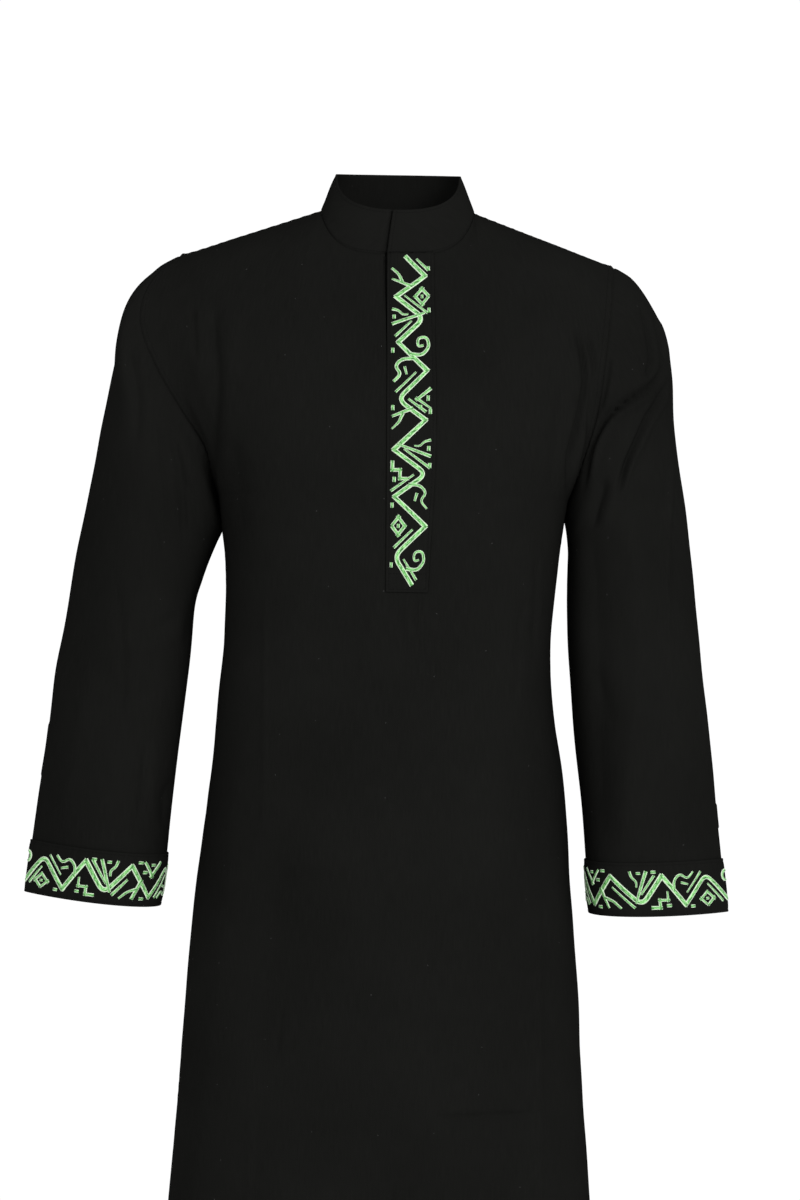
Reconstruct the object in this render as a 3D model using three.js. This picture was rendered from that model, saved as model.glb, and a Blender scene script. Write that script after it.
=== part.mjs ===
// A man's ankle-length jubba in the shape it takes when worn: front and back, two set-in sleeves with
// a band at each hem, a stand collar and a half placket. Every piece of cloth is a thin wall.
// Millimetres, +Z up, +X to the viewer's right, and the front faces -Y. The origin is in the middle
// of the neck, level with the two side neck points, where the shoulder seams meet the collar.
import * as THREE from "three";

const { degToRad, lerp } = THREE.MathUtils;

// Driving sizes
const LENGTH = 1420; // side neck point to hem
const CLOTH = 1.2; // wall of the body and the sleeves
const BAND_CLOTH = 1.4; // wall of the placket and the sleeve bands, which are faced
const COLLAR_CLOTH = 2.2; // wall of the collar, which is interfaced
const SEAM_PULL = 0.18; // how far each piece draws back from a seam line
const COLLAR_PULL = 0.42; // the same for the collar, whose wall is thicker
const LAYER_GAP = 0.3; // between two pieces that lie on each other

// Seen from above, square is how far each half outline fills its corners, where 2 is an ellipse.
// ridge is how far the middle of the back would rise if it weren't cut by the neckline.
const NECK = { wide: 76, front: 73.5, frontSquare: 3.15, back: 56, backSquare: 2.2, ridge: 51 };
const COLLAR_TOP = { wide: 62.5, front: 58, frontSquare: 2.4, back: 50, backSquare: 2.2 };
const COLLAR_HEIGHT = { side: 37, front: -5, back: 44 }; // of its upper edge, from the origin
const COLLAR_ROWS = 3;
const UNDERLAP = 30; // how far the collar's under end runs beneath its upper end
const UNDERLAP_LIFT = 0.5; // rise of the under end's foot for each mm it lies inside the neckline

const SHOULDER_TIP = { out: 216, leftDrop: 47.5, rightDrop: 52 };
const UNDERARM = { out: 174, drop: 288 };
const ARMHOLE = { front: 62, back: 58 };

const PLACKET = { left: -8.6, width: 43.8, bottom: 379, slant: 5 };
const UNDERLAP_SEAM = 9; // how far the placket's under strip reaches past the slit on its sewn side
const SLIT_END = 363; // drop of the lower end of the neck opening
const CUFF_BAND_ROWS = 2; // rows of the sleeve that the band covers

const RING_NECK = 101; // ring place of the column that ends at a side neck point
const EDGE_REACH = 75; // degrees of the ring over which a panel is drawn to its armhole
const EDGE_FALL = 1.3; // how fast that fades

// Mesh density
const SHOULDER_STEPS = 6;
const ARMHOLE_STEPS = 14; // rows from the underarm to the shoulder, and half of a sleeve's turn
const SKIRT_STEPS = 17;

// Rings of the body. left, right, front and back are its reach from the middle line, and square is
// how far the ring fills its corners, where 2 is an ellipse.
const BODY_RINGS = [
  { drop: 288, left: 174, right: 174, front: 131, back: 112, square: 2.6 },
  { drop: 350, left: 166, right: 166, front: 134, back: 111, square: 2.55 },
  { drop: 420, left: 165, right: 160, front: 136, back: 110, square: 2.5 },
  { drop: 480, left: 170, right: 162, front: 138, back: 112, square: 2.5 },
  { drop: 560, left: 176, right: 173, front: 141, back: 118, square: 2.45 },
  { drop: 700, left: 192, right: 186, front: 145, back: 129, square: 2.4 },
  { drop: 900, left: 205, right: 201, front: 150, back: 140, square: 2.35 },
  { drop: 1150, left: 223, right: 222, front: 157, back: 153, square: 2.3 },
  { drop: 1420, left: 243, right: 243, front: 166, back: 168, square: 2.25 },
];

// Soft flutes of the skirt, which grow from their start down to the hem. at and wide are degrees
// round the half ring from the left side seam, and depth is outwards at the hem.
const FRONT_FLUTES = [
  { at: 20, wide: 9, depth: 6, start: 620 },
  { at: 43, wide: 9, depth: -5, start: 700 },
  { at: 74, wide: 11, depth: 3.5, start: 800 },
  { at: 101, wide: 9, depth: -4, start: 760 },
  { at: 131, wide: 10, depth: 4.5, start: 700 },
  { at: 158, wide: 8, depth: 6.5, start: 560 },
];
const BACK_FLUTES = [
  { at: 17, wide: 9, depth: 7, start: 520 },
  { at: 40, wide: 8, depth: -9, start: 430 },
  { at: 66, wide: 10, depth: 10, start: 380 },
  { at: 92, wide: 9, depth: -10, start: 460 },
  { at: 117, wide: 9, depth: 9, start: 400 },
  { at: 143, wide: 8, depth: -8, start: 440 },
  { at: 164, wide: 9, depth: 7, start: 540 },
];

// How far the front half of each armhole seam stands outside a straight line from the shoulder tip
// to the underarm. at is the share of the way down.
const LEFT_BOW = [
  { at: 0, out: 0 },
  { at: 0.1, out: 35 },
  { at: 0.27, out: 50 },
  { at: 0.46, out: 40 },
  { at: 0.66, out: 20 },
  { at: 0.8, out: 3 },
  { at: 1, out: 0 },
];
const RIGHT_BOW = [
  { at: 0, out: 0 },
  { at: 0.32, out: 6 },
  { at: 0.64, out: 10 },
  { at: 0.84, out: 6 },
  { at: 1, out: 0 },
];

// Sections of the sleeves. outer and inner are the section's ends, seen from the front, depth is half
// its thickness, middle is where it lies front to back, and crease sharpens its outer end.
const LEFT_SLEEVE = [
  { outer: 216, outerDrop: 47.5, inner: 174, innerDrop: 288, depth: 60, middle: 2, crease: 0 },
  { outer: 238, outerDrop: 60, inner: 174.2, innerDrop: 300, depth: 62, middle: 2, crease: 0 },
  { outer: 258, outerDrop: 84, inner: 172, innerDrop: 316, depth: 64, middle: 2, crease: 0 },
  { outer: 272, outerDrop: 117, inner: 175.5, innerDrop: 333, depth: 65, middle: 3, crease: 0.05 },
  { outer: 281, outerDrop: 158, inner: 182, innerDrop: 350, depth: 65, middle: 4, crease: 0.1 },
  { outer: 291, outerDrop: 208, inner: 189, innerDrop: 371, depth: 64, middle: 5, crease: 0.15 },
  { outer: 302, outerDrop: 270, inner: 196, innerDrop: 398, depth: 62, middle: 4, crease: 0.25 },
  { outer: 315, outerDrop: 345, inner: 199.5, innerDrop: 447, depth: 59, middle: 1, crease: 0.4 },
  { outer: 328, outerDrop: 433, inner: 205.5, innerDrop: 503, depth: 55, middle: -6, crease: 0.55 },
  { outer: 341, outerDrop: 539, inner: 212.5, innerDrop: 576, depth: 50, middle: -17, crease: 0.7 },
  { outer: 351.5, outerDrop: 631, inner: 217.5, innerDrop: 642, depth: 46, middle: -26, crease: 0.8 },
  { outer: 354.5, outerDrop: 656, inner: 220.5, innerDrop: 667, depth: 45, middle: -29, crease: 0.8 },
  { outer: 357, outerDrop: 681, inner: 223.5, innerDrop: 692, depth: 44, middle: -31, crease: 0.8 },
];
const RIGHT_SLEEVE = [
  { outer: 216, outerDrop: 52, inner: 174, innerDrop: 288, depth: 60, middle: 2, crease: 0 },
  { outer: 235, outerDrop: 62, inner: 175.5, innerDrop: 300, depth: 62, middle: 2, crease: 0 },
  { outer: 253, outerDrop: 86, inner: 176, innerDrop: 317, depth: 64, middle: 2, crease: 0 },
  { outer: 270, outerDrop: 118, inner: 176, innerDrop: 335, depth: 65, middle: 3, crease: 0.05 },
  { outer: 277, outerDrop: 158, inner: 176, innerDrop: 352, depth: 65, middle: 4, crease: 0.1 },
  { outer: 281, outerDrop: 209, inner: 176, innerDrop: 373, depth: 64, middle: 5, crease: 0.15 },
  { outer: 290, outerDrop: 273, inner: 176.5, innerDrop: 400, depth: 62, middle: 4, crease: 0.25 },
  { outer: 300, outerDrop: 349, inner: 179, innerDrop: 449, depth: 59, middle: 1, crease: 0.4 },
  { outer: 310, outerDrop: 437, inner: 184, innerDrop: 505, depth: 55, middle: -6, crease: 0.55 },
  { outer: 322, outerDrop: 543, inner: 192, innerDrop: 577, depth: 50, middle: -17, crease: 0.7 },
  { outer: 332, outerDrop: 638, inner: 197.5, innerDrop: 641, depth: 46, middle: -26, crease: 0.8 },
  { outer: 335, outerDrop: 664, inner: 199.5, innerDrop: 667, depth: 45, middle: -29, crease: 0.8 },
  { outer: 337.5, outerDrop: 689, inner: 202, innerDrop: 692, depth: 44, middle: -31, crease: 0.8 },
];
const CAP_FADE_ROWS = 6; // rows over which a sleeve takes leave of the armhole's own shape

const SIDES = {
  left: { sign: -1, tipDrop: SHOULDER_TIP.leftDrop, bow: LEFT_BOW, sleeve: LEFT_SLEEVE },
  right: { sign: 1, tipDrop: SHOULDER_TIP.rightDrop, bow: RIGHT_BOW, sleeve: RIGHT_SLEEVE },
};

const power = (base, exponent) => Math.sign(base) * Math.abs(base) ** exponent;
const range = (count, make) => Array.from({ length: count }, (_, i) => make(i));

// The value of one column of a table at a place between its rows, on a smooth curve through them.
function along(table, key, name, at) {
  const last = table.length - 1;
  const i = Math.min(Math.max(table.findIndex((row) => row[key] > at) - 1, 0), last - 1);
  const k = at >= table[last][key] ? last - 1 : i;
  const slope = (j) => {
    const a = table[Math.max(j - 1, 0)];
    const b = table[Math.min(j + 1, last)];
    return (b[name] - a[name]) / (b[key] - a[key]);
  };
  const [p, q] = [table[k], table[k + 1]];
  const span = q[key] - p[key];
  const t = (at - p[key]) / span;
  const [t2, t3] = [t * t, t * t * t];
  return (
    p[name] * (2 * t3 - 3 * t2 + 1) +
    q[name] * (3 * t2 - 2 * t3) +
    span * (slope(k) * (t3 - 2 * t2 + t) + slope(k + 1) * (t3 - t2))
  );
}

// A point of an outline seen from above. Angle 0 is the left side neck point, 90 the front, 180 the
// right side neck point and 270 the back.
function outlinePoint(outline, angle) {
  const s = Math.sin(degToRad(angle));
  const bend = 2 / (s > 0 ? outline.frontSquare : outline.backSquare);
  const x = -outline.wide * power(Math.cos(degToRad(angle)), bend);
  return new THREE.Vector3(x, s > 0 ? -outline.front * s ** bend : outline.back * (-s) ** bend, 0);
}

// The neckline, where that outline cuts the body's surface.
function neckPoint(angle) {
  const point = outlinePoint(NECK, angle);
  const ring = BODY_RINGS[0];
  const across = Math.abs((point.x * RING_NECK) / NECK.wide) / ring.left;
  const reach = (point.y < 0 ? ring.front : ring.back) * (1 - across ** ring.square) ** (1 / ring.square);
  const ridge = point.y > 0 ? NECK.ridge * (1 - (point.x / NECK.wide) ** 2) : 0;
  point.z = (UNDERARM.drop + ridge) * Math.sqrt(1 - (point.y / reach) ** 2) - UNDERARM.drop;
  return point;
}

const neckAngleAt = (x) => 180 - (Math.acos(power(x / NECK.wide, NECK.frontSquare / 2)) * 180) / Math.PI;

// The collar's upper edge, above the neckline's point at the same angle.
function collarTopPoint(angle) {
  const point = outlinePoint(COLLAR_TOP, angle);
  const face = point.y < 0 ? "front" : "back";
  point.z = lerp(COLLAR_HEIGHT.side, COLLAR_HEIGHT[face], Math.abs(point.y) / COLLAR_TOP[face]);
  return point;
}

const shoulderTip = (side) => new THREE.Vector3(side.sign * SHOULDER_TIP.out, 0, -side.tipDrop);

// The armhole seam. Angle 0 is the shoulder tip, 90 the front, 180 the underarm, 270 the back.
function armholePoint(side, angle) {
  const s = Math.sin(degToRad(angle));
  const down = (1 - Math.cos(degToRad(angle))) / 2;
  const bow = s > 0 ? along(side.bow, "at", "out", down) * Math.sqrt(s) : 0;
  const out = lerp(SHOULDER_TIP.out, UNDERARM.out, down) + bow;
  const depth = s > 0 ? -(ARMHOLE.front - 0.15 * bow) * s : -ARMHOLE.back * s;
  return new THREE.Vector3(side.sign * out, depth, -lerp(side.tipDrop, UNDERARM.drop, down));
}

// Half a ring of the body at a drop. Angle 0 is the left side seam and 180 the right one.
function ringPoint(angle, drop, face) {
  const at = (name) => along(BODY_RINGS, "drop", name, drop);
  const c = Math.cos(degToRad(angle));
  const s = Math.max(Math.sin(degToRad(angle)), 0);
  const bend = 2 / at("square");
  const flute = face.flutes.reduce((sum, fold) => {
    const grown = THREE.MathUtils.smoothstep(drop, fold.start, LENGTH + 200);
    return sum + fold.depth * grown * Math.exp(-(((angle - fold.at) / fold.wide) ** 2));
  }, 0);
  const across = c > 0 ? -at("left") : at("right");
  return new THREE.Vector3(
    across * Math.abs(c) ** bend - c * flute,
    face.sign * (at(face.reach) * s ** bend + flute * s),
    -drop,
  );
}

const ringAngleAt = (x) => {
  const ring = BODY_RINGS[0];
  return 180 - (Math.acos(power(x / ring.left, ring.square / 2)) * 180) / Math.PI;
};

// The columns of a panel: each has its place on the top edge and its angle on the rings.
// neckAngles are the neckline's, from the left side neck point to the right one.
function panelColumns(neckAngles, ringPlaces) {
  const first = ringAngleAt(ringPlaces[0]);
  const last = 180 - ringAngleAt(ringPlaces[ringPlaces.length - 1]);
  const shoulder = (side, share) => {
    const tip = shoulderTip(side);
    const neck = new THREE.Vector3(side.sign * NECK.wide, 0, 0);
    return tip.lerp(neck, share);
  };
  return [
    ...range(SHOULDER_STEPS, (i) => ({
      top: shoulder(SIDES.left, i / SHOULDER_STEPS),
      angle: (first * i) / SHOULDER_STEPS,
    })),
    ...neckAngles.map((neckAngle, i) => ({
      top: neckPoint(neckAngle),
      angle: ringAngleAt(ringPlaces[i]),
    })),
    ...range(SHOULDER_STEPS, (i) => ({
      top: shoulder(SIDES.right, 1 - (i + 1) / SHOULDER_STEPS),
      angle: 180 - (last * (SHOULDER_STEPS - 1 - i)) / SHOULDER_STEPS,
    })),
  ];
}

// A point of a column above the underarm, at a height from 0 on its ring to 1 on the top edge. The
// cloth leaves the ring in the ring's own direction and rolls over to the top edge. seamDepth is how
// far out from the middle plane the armhole seam lies at that height.
function rise({ angle, top }, height, face, seamDepth) {
  const foot = ringPoint(angle, UNDERARM.drop, face);
  const below = ringPoint(angle, UNDERARM.drop + 1, face);
  const lean = foot.clone().sub(below).multiplyScalar(top.z - foot.z);
  const ease = height * (1 - height) ** 2;
  const inside = 1 - (foot.y / BODY_RINGS[0][face.reach]) ** 2;
  const depth = foot.y ** 2 * (1 - height ** 2) + top.y ** 2 * height ** 2 + seamDepth ** 2 * inside;
  return new THREE.Vector3(
    lerp(foot.x, top.x, height) + (lean.x - (top.x - foot.x)) * ease,
    face.sign * Math.sqrt(Math.max(depth, 0)) + lean.y * ease,
    lerp(foot.z, top.z, height),
  );
}

// A point of a panel above the underarm: near an armhole it is drawn across to that seam.
function yokePoint(column, step, face) {
  const seamAngle = 180 * (1 - step / ARMHOLE_STEPS);
  const height = (1 + Math.cos(degToRad(seamAngle))) / 2;
  const side = column.angle < 90 ? SIDES.left : SIDES.right;
  const seam = armholePoint(side, face.sign < 0 ? seamAngle : 360 - seamAngle);
  const tip = shoulderTip(side);
  const plain = rise({ angle: side.sign < 0 ? 0 : 180, top: tip }, height, face, seam.y);
  const fromSeam = side.sign < 0 ? column.angle : 180 - column.angle;
  const pull = Math.max(1 - fromSeam / EDGE_REACH, 0) ** EDGE_FALL;
  return rise(column, height, face, seam.y).addScaledVector(seam.sub(plain), pull);
}

const SKIRT_DROPS = [
  318,
  348,
  PLACKET.bottom,
  ...range(SKIRT_STEPS, (i) => lerp(PLACKET.bottom, LENGTH, (i + 1) / SKIRT_STEPS)),
];

// The rows of a panel from the hem up to the shoulder seams and the neckline.
function panelRows(columns, face) {
  const skirt = SKIRT_DROPS.toReversed().map((drop) => columns.map((c) => ringPoint(c.angle, drop, face)));
  const yoke = range(ARMHOLE_STEPS + 1, (step) => columns.map((c) => yokePoint(c, step, face)));
  return [...skirt, ...yoke];
}

const FRONT = { sign: -1, reach: "front", flutes: FRONT_FLUTES };
const BACK = { sign: 1, reach: "back", flutes: BACK_FLUTES };

// A sleeve's section: a ring that is round at its inner end and can be creased at its outer end.
function sleevePoint(side, row, angle) {
  const s = Math.sin(degToRad(angle));
  const c = Math.cos(degToRad(angle));
  const peak = -row.crease / (2 + row.crease);
  const widest = Math.sqrt(1 - peak * peak) * ((1 - peak) / 2) ** (row.crease / 2);
  const swell = (s * Math.abs(Math.sin(degToRad(angle / 2))) ** row.crease) / widest;
  return new THREE.Vector3(
    side.sign * ((row.outer + row.inner) / 2 + ((row.outer - row.inner) / 2) * c),
    row.middle - row.depth * swell,
    -((row.outerDrop + row.innerDrop) / 2 + ((row.outerDrop - row.innerDrop) / 2) * c),
  );
}

// The rows of a sleeve from the armhole down to its hem, each once round.
function sleeveRows(side) {
  const first = side.sleeve[0];
  return side.sleeve.map((row, k) => {
    const fade = 1 - THREE.MathUtils.smoothstep(k, 0, CAP_FADE_ROWS);
    return range(2 * ARMHOLE_STEPS, (i) => {
      const angle = (180 * i) / ARMHOLE_STEPS;
      const own = armholePoint(side, angle).sub(sleevePoint(side, first, angle));
      return sleevePoint(side, row, angle).addScaledVector(own, fade);
    });
  });
}

const keyOf = (point) => point.toArray().map((x) => Math.round(x * 50)).join();

// The triangles between the rows and columns of a grid of point numbers.
function gridFaces(ids, { closed, cut = [], flip }) {
  const faces = [];
  const wide = ids[0].length;
  for (let r = 0; r + 1 < ids.length; r++) {
    for (let c = 0; c < (closed ? wide : wide - 1); c++) {
      if (cut.includes(c)) continue;
      const d = (c + 1) % wide;
      const quad = [ids[r][c], ids[r][d], ids[r + 1][d], ids[r + 1][c]];
      if (flip) quad.reverse();
      faces.push([quad[0], quad[1], quad[2]], [quad[0], quad[2], quad[3]]);
    }
  }
  return faces;
}

// A sheet of cloth, as rows of points with normals. closed joins the last column to the first, cut
// names columns with no cloth between them and the next, and seams are the edges sewn to others.
function makeSheet(rows, { closed = false, cut = [], seams = [], flip = false, pull = SEAM_PULL } = {}) {
  const points = [];
  const index = new Map();
  const ids = rows.map((row) =>
    row.map((point) => {
      const key = keyOf(point);
      if (!index.has(key)) {
        index.set(key, points.length);
        points.push(point.clone());
      }
      return index.get(key);
    }),
  );
  const faces = gridFaces(ids, { closed, cut, flip });
  const normals = points.map(() => new THREE.Vector3());
  for (const [a, b, c] of faces) {
    const across = points[b].clone().sub(points[a]);
    const normal = across.cross(points[c].clone().sub(points[a]));
    for (const id of [a, b, c]) normals[id].add(normal);
  }
  normals.forEach((normal) => normal.normalize());
  return { ids, points, faces, normals, own: normals.map((n) => n.clone()), seams, pull, closed, flip };
}

// Gives the pieces that meet at a seam one shared normal there, so that their ends are cut along one
// plane and can't run into each other.
function shareSeamNormals(sheets) {
  const shared = new Map();
  for (const { points, normals } of sheets) {
    points.forEach((point, i) => {
      const key = keyOf(point);
      if (!shared.has(key)) shared.set(key, new THREE.Vector3());
      shared.get(key).add(normals[i]);
    });
  }
  for (const { points, normals } of sheets) {
    points.forEach((point, i) => normals[i].copy(shared.get(keyOf(point))).normalize());
  }
}

// Draws a sheet's sewn edges back from their seam lines, within the sheet.
function drawBack(sheet) {
  const { ids, points, normals, seams } = sheet;
  const moves = new Map();
  const draw = (id, inner) => {
    const way = points[inner].clone().sub(points[id]);
    way.addScaledVector(normals[id], -way.dot(normals[id])).setLength(sheet.pull);
    moves.set(id, (moves.get(id) ?? new THREE.Vector3()).add(way));
  };
  const last = ids.length - 1;
  if (seams.includes("top")) ids[last].forEach((id, c) => draw(id, ids[last - 1][c]));
  if (seams.includes("bottom")) ids[0].forEach((id, c) => draw(id, ids[1][c]));
  if (seams.includes("sides")) {
    for (const row of ids) {
      draw(row[0], row[1]);
      draw(row[row.length - 1], row[row.length - 2]);
    }
  }
  for (const [id, move] of moves) points[id].add(move);
}

// A sheet moved out along its normals, or in where out is negative.
function movedOut(points, normals, own, out) {
  return points.map((point, i) => {
    const slant = Math.max(normals[i].dot(own[i]), 0.6);
    return point.clone().addScaledVector(normals[i], out / slant);
  });
}

// The closed wall of a sheet: its outer face lies out from the sheet, and the wall goes inwards. The
// rim is split along one set way, so two pieces that meet at a seam have the same split.
const RIM_WAY = new THREE.Vector3(1, 0.7, 0.4);
function wall({ points, faces, normals, own }, thick, out = 0) {
  const outer = movedOut(points, normals, own, out);
  const inner = movedOut(points, normals, own, out - thick);
  const uses = new Map();
  for (const [a, b, c] of faces) {
    for (const [p, q] of [[a, b], [b, c], [c, a]]) uses.set(`${p},${q}`, [p, q]);
  }
  const rim = [...uses.values()].filter(([p, q]) => !uses.has(`${q},${p}`));
  const n = points.length;
  const triangles = [
    ...faces,
    ...faces.map(([a, b, c]) => [a + n, c + n, b + n]),
    ...rim.flatMap(([p, q]) =>
      points[p].dot(RIM_WAY) < points[q].dot(RIM_WAY)
        ? [[q, p, p + n], [q, p + n, q + n]]
        : [[q, p, q + n], [p, p + n, q + n]],
    ),
  ];
  const geometry = new THREE.BufferGeometry().setFromPoints([...outer, ...inner]);
  geometry.setIndex(triangles.flat());
  geometry.computeVertexNormals();
  return geometry;
}

// A sheet on some rows and columns of another one, with the same points and normals.
function stripOf(sheet, rowFrom, rowTo, columns) {
  const picked = sheet.ids.slice(rowFrom, rowTo + 1).map((row) => columns.map((c) => row[c]));
  const used = [...new Set(picked.flat())];
  const place = new Map(used.map((id, i) => [id, i]));
  const ids = picked.map((row) => row.map((id) => place.get(id)));
  return {
    points: used.map((id) => sheet.points[id]),
    normals: used.map((id) => sheet.normals[id]),
    own: used.map((id) => sheet.own[id]),
    faces: gridFaces(ids, sheet),
  };
}

// Neckline angles and ring places of the front's columns. Those of the placket and of the lip to its
// left stand straight, and the others spread evenly from them to the side neck points.
const PLACKET_STEPS = 4;
const LEFT_NECK_STEPS = 6;
const RIGHT_NECK_STEPS = 4;
const lip = PLACKET.left - UNDERLAP_SEAM;
const placketEnd = PLACKET.left + PLACKET.width;
const placketPlaces = range(PLACKET_STEPS + 1, (i) => lerp(PLACKET.left, placketEnd, i / PLACKET_STEPS));
const lipAngle = neckAngleAt(lip);
const endAngle = neckAngleAt(placketEnd);
const frontNeckAngles = [
  ...range(LEFT_NECK_STEPS + 1, (i) => (lipAngle * i) / LEFT_NECK_STEPS),
  neckAngleAt(PLACKET.left),
  ...placketPlaces.map(neckAngleAt),
  ...range(RIGHT_NECK_STEPS, (i) => lerp(endAngle, 180, (i + 1) / RIGHT_NECK_STEPS)),
];
const neckDrop = -neckPoint(90).z;
const underarmSlant = (PLACKET.slant * (UNDERARM.drop - neckDrop)) / (PLACKET.bottom - neckDrop);
const spread = (x, edge) => {
  const end = Math.sign(x) * NECK.wide;
  return lerp(edge + underarmSlant, Math.sign(x) * RING_NECK, (x - edge) / (end - edge));
};
const frontRingPlaces = frontNeckAngles.map((angle) => {
  const { x } = neckPoint(angle);
  if (x < lip) return spread(x, lip);
  return x > placketEnd ? spread(x, placketEnd) : x + underarmSlant;
});
const LEFT_LIP = SHOULDER_STEPS + LEFT_NECK_STEPS + 1; // the slit's left edge, and its right one is next
const RIGHT_LIP = LEFT_LIP + 1;

const BACK_NECK_STEPS = 12;
const backNeckAngles = range(BACK_NECK_STEPS + 1, (i) => 360 - (180 * i) / BACK_NECK_STEPS);
const backRingPlaces = backNeckAngles.map((angle) => (neckPoint(angle).x * RING_NECK) / NECK.wide);

// The front, with the neck opening cut from the neckline down to the slit's end.
const frontRows = panelRows(panelColumns(frontNeckAngles, frontRingPlaces), FRONT);
for (const row of frontRows) {
  if (-row[LEFT_LIP].z < SLIT_END) row[LEFT_LIP].x -= 2 * SEAM_PULL;
}
const front = makeSheet(frontRows, { seams: ["top", "sides"], cut: [LEFT_LIP] });
const back = makeSheet(panelRows(panelColumns(backNeckAngles, backRingPlaces), BACK), {
  seams: ["top", "sides"],
  flip: true,
});
const sleeves = Object.fromEntries(
  Object.entries(SIDES).map(([name, side]) => [
    name,
    makeSheet(sleeveRows(side), { closed: true, seams: ["bottom"], flip: side.sign < 0 }),
  ]),
);

// The collar runs from its upper end at the slit, round the back, to its under end beneath the
// upper one. inset is how far a column lies inside the neckline.
const LAP_STEPS = 3;
function collarColumns() {
  const under = COLLAR_CLOTH + 2 * LAYER_GAP;
  const lapPlaces = range(LAP_STEPS, (i) => PLACKET.left + (UNDERLAP * (i + 1)) / LAP_STEPS);
  const rightFront = frontNeckAngles.slice(LEFT_NECK_STEPS + 2);
  const leftFront = frontNeckAngles.slice(0, LEFT_NECK_STEPS + 1);
  return [
    ...[...rightFront, ...backNeckAngles.toReversed().slice(1, -1), ...leftFront].map((angle) => ({
      angle,
      inset: 0,
    })),
    ...[PLACKET.left, ...lapPlaces].map((x) => ({ angle: neckAngleAt(x), inset: under })),
  ];
}

function collarRows() {
  const columns = collarColumns();
  return range(COLLAR_ROWS + 1, (r) =>
    columns.map(({ angle, inset }) => {
      const foot = neckPoint(angle);
      const point = foot.clone().lerp(collarTopPoint(angle), r / COLLAR_ROWS);
      const inward = new THREE.Vector3(-foot.x, -foot.y, 0).setLength(inset);
      if (r === 0) inward.z = inset * UNDERLAP_LIFT;
      return point.add(inward);
    }),
  );
}
const collar = makeSheet(collarRows(), { seams: ["bottom"], pull: COLLAR_PULL });

const sewn = [front, back, sleeves.left, sleeves.right, collar];
shareSeamNormals(sewn);
sewn.forEach(drawBack);

// The placket's upper strip covers the slit's right side from the collar seam down, and its under
// strip is sewn to the slit's left side and lies behind.
const columnsFrom = (first, count) => range(count, (i) => first + i);
const placketRows = [SKIRT_STEPS, frontRows.length - 1];
const placket = stripOf(front, ...placketRows, columnsFrom(RIGHT_LIP, PLACKET_STEPS + 1));
const underlap = stripOf(front, ...placketRows, [LEFT_LIP - 1, ...columnsFrom(RIGHT_LIP, PLACKET_STEPS)]);

const bandOf = (name) => {
  const hem = SIDES[name].sleeve.length - 1;
  return stripOf(sleeves[name], hem - CUFF_BAND_ROWS, hem, columnsFrom(0, 2 * ARMHOLE_STEPS));
};

const CLOTH_COLOUR = 0x1b1b1a;
const material = (roughness) =>
  new THREE.MeshStandardMaterial({ color: CLOTH_COLOUR, roughness, metalness: 0, side: THREE.DoubleSide });
const plain = material(0.9);
const faced = material(0.85);

const jubba = new THREE.Group();
const add = (name, geometry, finish) => {
  const mesh = new THREE.Mesh(geometry, finish);
  mesh.name = name;
  jubba.add(mesh);
};
add("front", wall(front, CLOTH), plain);
add("back", wall(back, CLOTH), plain);
add("sleeve_left", wall(sleeves.left, CLOTH), plain);
add("sleeve_right", wall(sleeves.right, CLOTH), plain);
add("cuff_band_left", wall(bandOf("left"), BAND_CLOTH, LAYER_GAP + BAND_CLOTH), faced);
add("cuff_band_right", wall(bandOf("right"), BAND_CLOTH, LAYER_GAP + BAND_CLOTH), faced);
add("collar", wall(collar, COLLAR_CLOTH), faced);
add("placket", wall(placket, BAND_CLOTH, LAYER_GAP + BAND_CLOTH), faced);
add("placket_underlap", wall(underlap, CLOTH, -CLOTH - LAYER_GAP), plain);

export default jubba;
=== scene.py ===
# A men's jubba as worn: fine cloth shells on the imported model, with their creases, seams, topstitching
# and satin-stitched strapwork. Sizes are in millimetres until a mesh is made, then in metres.
# +Z is up, +X is to the viewer's right, the front faces -Y, and the origin is in the neck opening.
import math

import bpy
import numpy as np
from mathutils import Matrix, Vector


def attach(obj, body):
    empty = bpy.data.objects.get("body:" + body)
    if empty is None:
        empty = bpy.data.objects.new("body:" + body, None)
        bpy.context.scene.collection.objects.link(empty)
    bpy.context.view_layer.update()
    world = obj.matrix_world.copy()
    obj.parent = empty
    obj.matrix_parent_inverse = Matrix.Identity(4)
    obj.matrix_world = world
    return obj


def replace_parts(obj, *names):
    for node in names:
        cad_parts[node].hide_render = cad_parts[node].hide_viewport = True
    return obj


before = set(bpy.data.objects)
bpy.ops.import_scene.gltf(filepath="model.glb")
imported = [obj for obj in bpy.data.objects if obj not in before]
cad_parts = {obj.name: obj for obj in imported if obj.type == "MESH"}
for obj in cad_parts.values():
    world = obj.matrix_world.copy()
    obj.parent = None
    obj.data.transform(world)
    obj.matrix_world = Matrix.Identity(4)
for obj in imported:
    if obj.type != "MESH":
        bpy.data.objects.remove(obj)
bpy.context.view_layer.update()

MM = 0.001


def table(names, *rows):
    """A table of sizes: each named column as an array."""
    return dict(zip(names.split(), np.array(rows, float).T))


# Camera and room
CAMERA = dict(distance=2900, x=9, drop=387, roll=1.0, sensor=36)
PICTURE_TALL = 1200  # millimetres of the garment's middle plane that the picture's height takes in
FLOOR = dict(drop=1570, radius=2400, corners=96)
ROOM_LIGHT = 0.6
WALL_LIGHT = 1.03
WALL_EDGE = (0.72, 0.93)  # how straight back a direction points where the white wall begins and is full

# Cloth
LENGTH = 1420
FLUTE_END = 1620  # drop at which the skirt's flutes would be at their deepest
CLOTH = 0.9
BAND_CLOTH = 1.4
COLLAR_CLOTH = 2.2
LAYER_GAP = 0.3
SEAM = dict(swell=0.9, wide=9, dip=1.6)  # the swell's height and width, and the width of its dip
SEAM_SHARE = dict(armhole=1.0, side=0.4, top=0.8)

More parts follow.
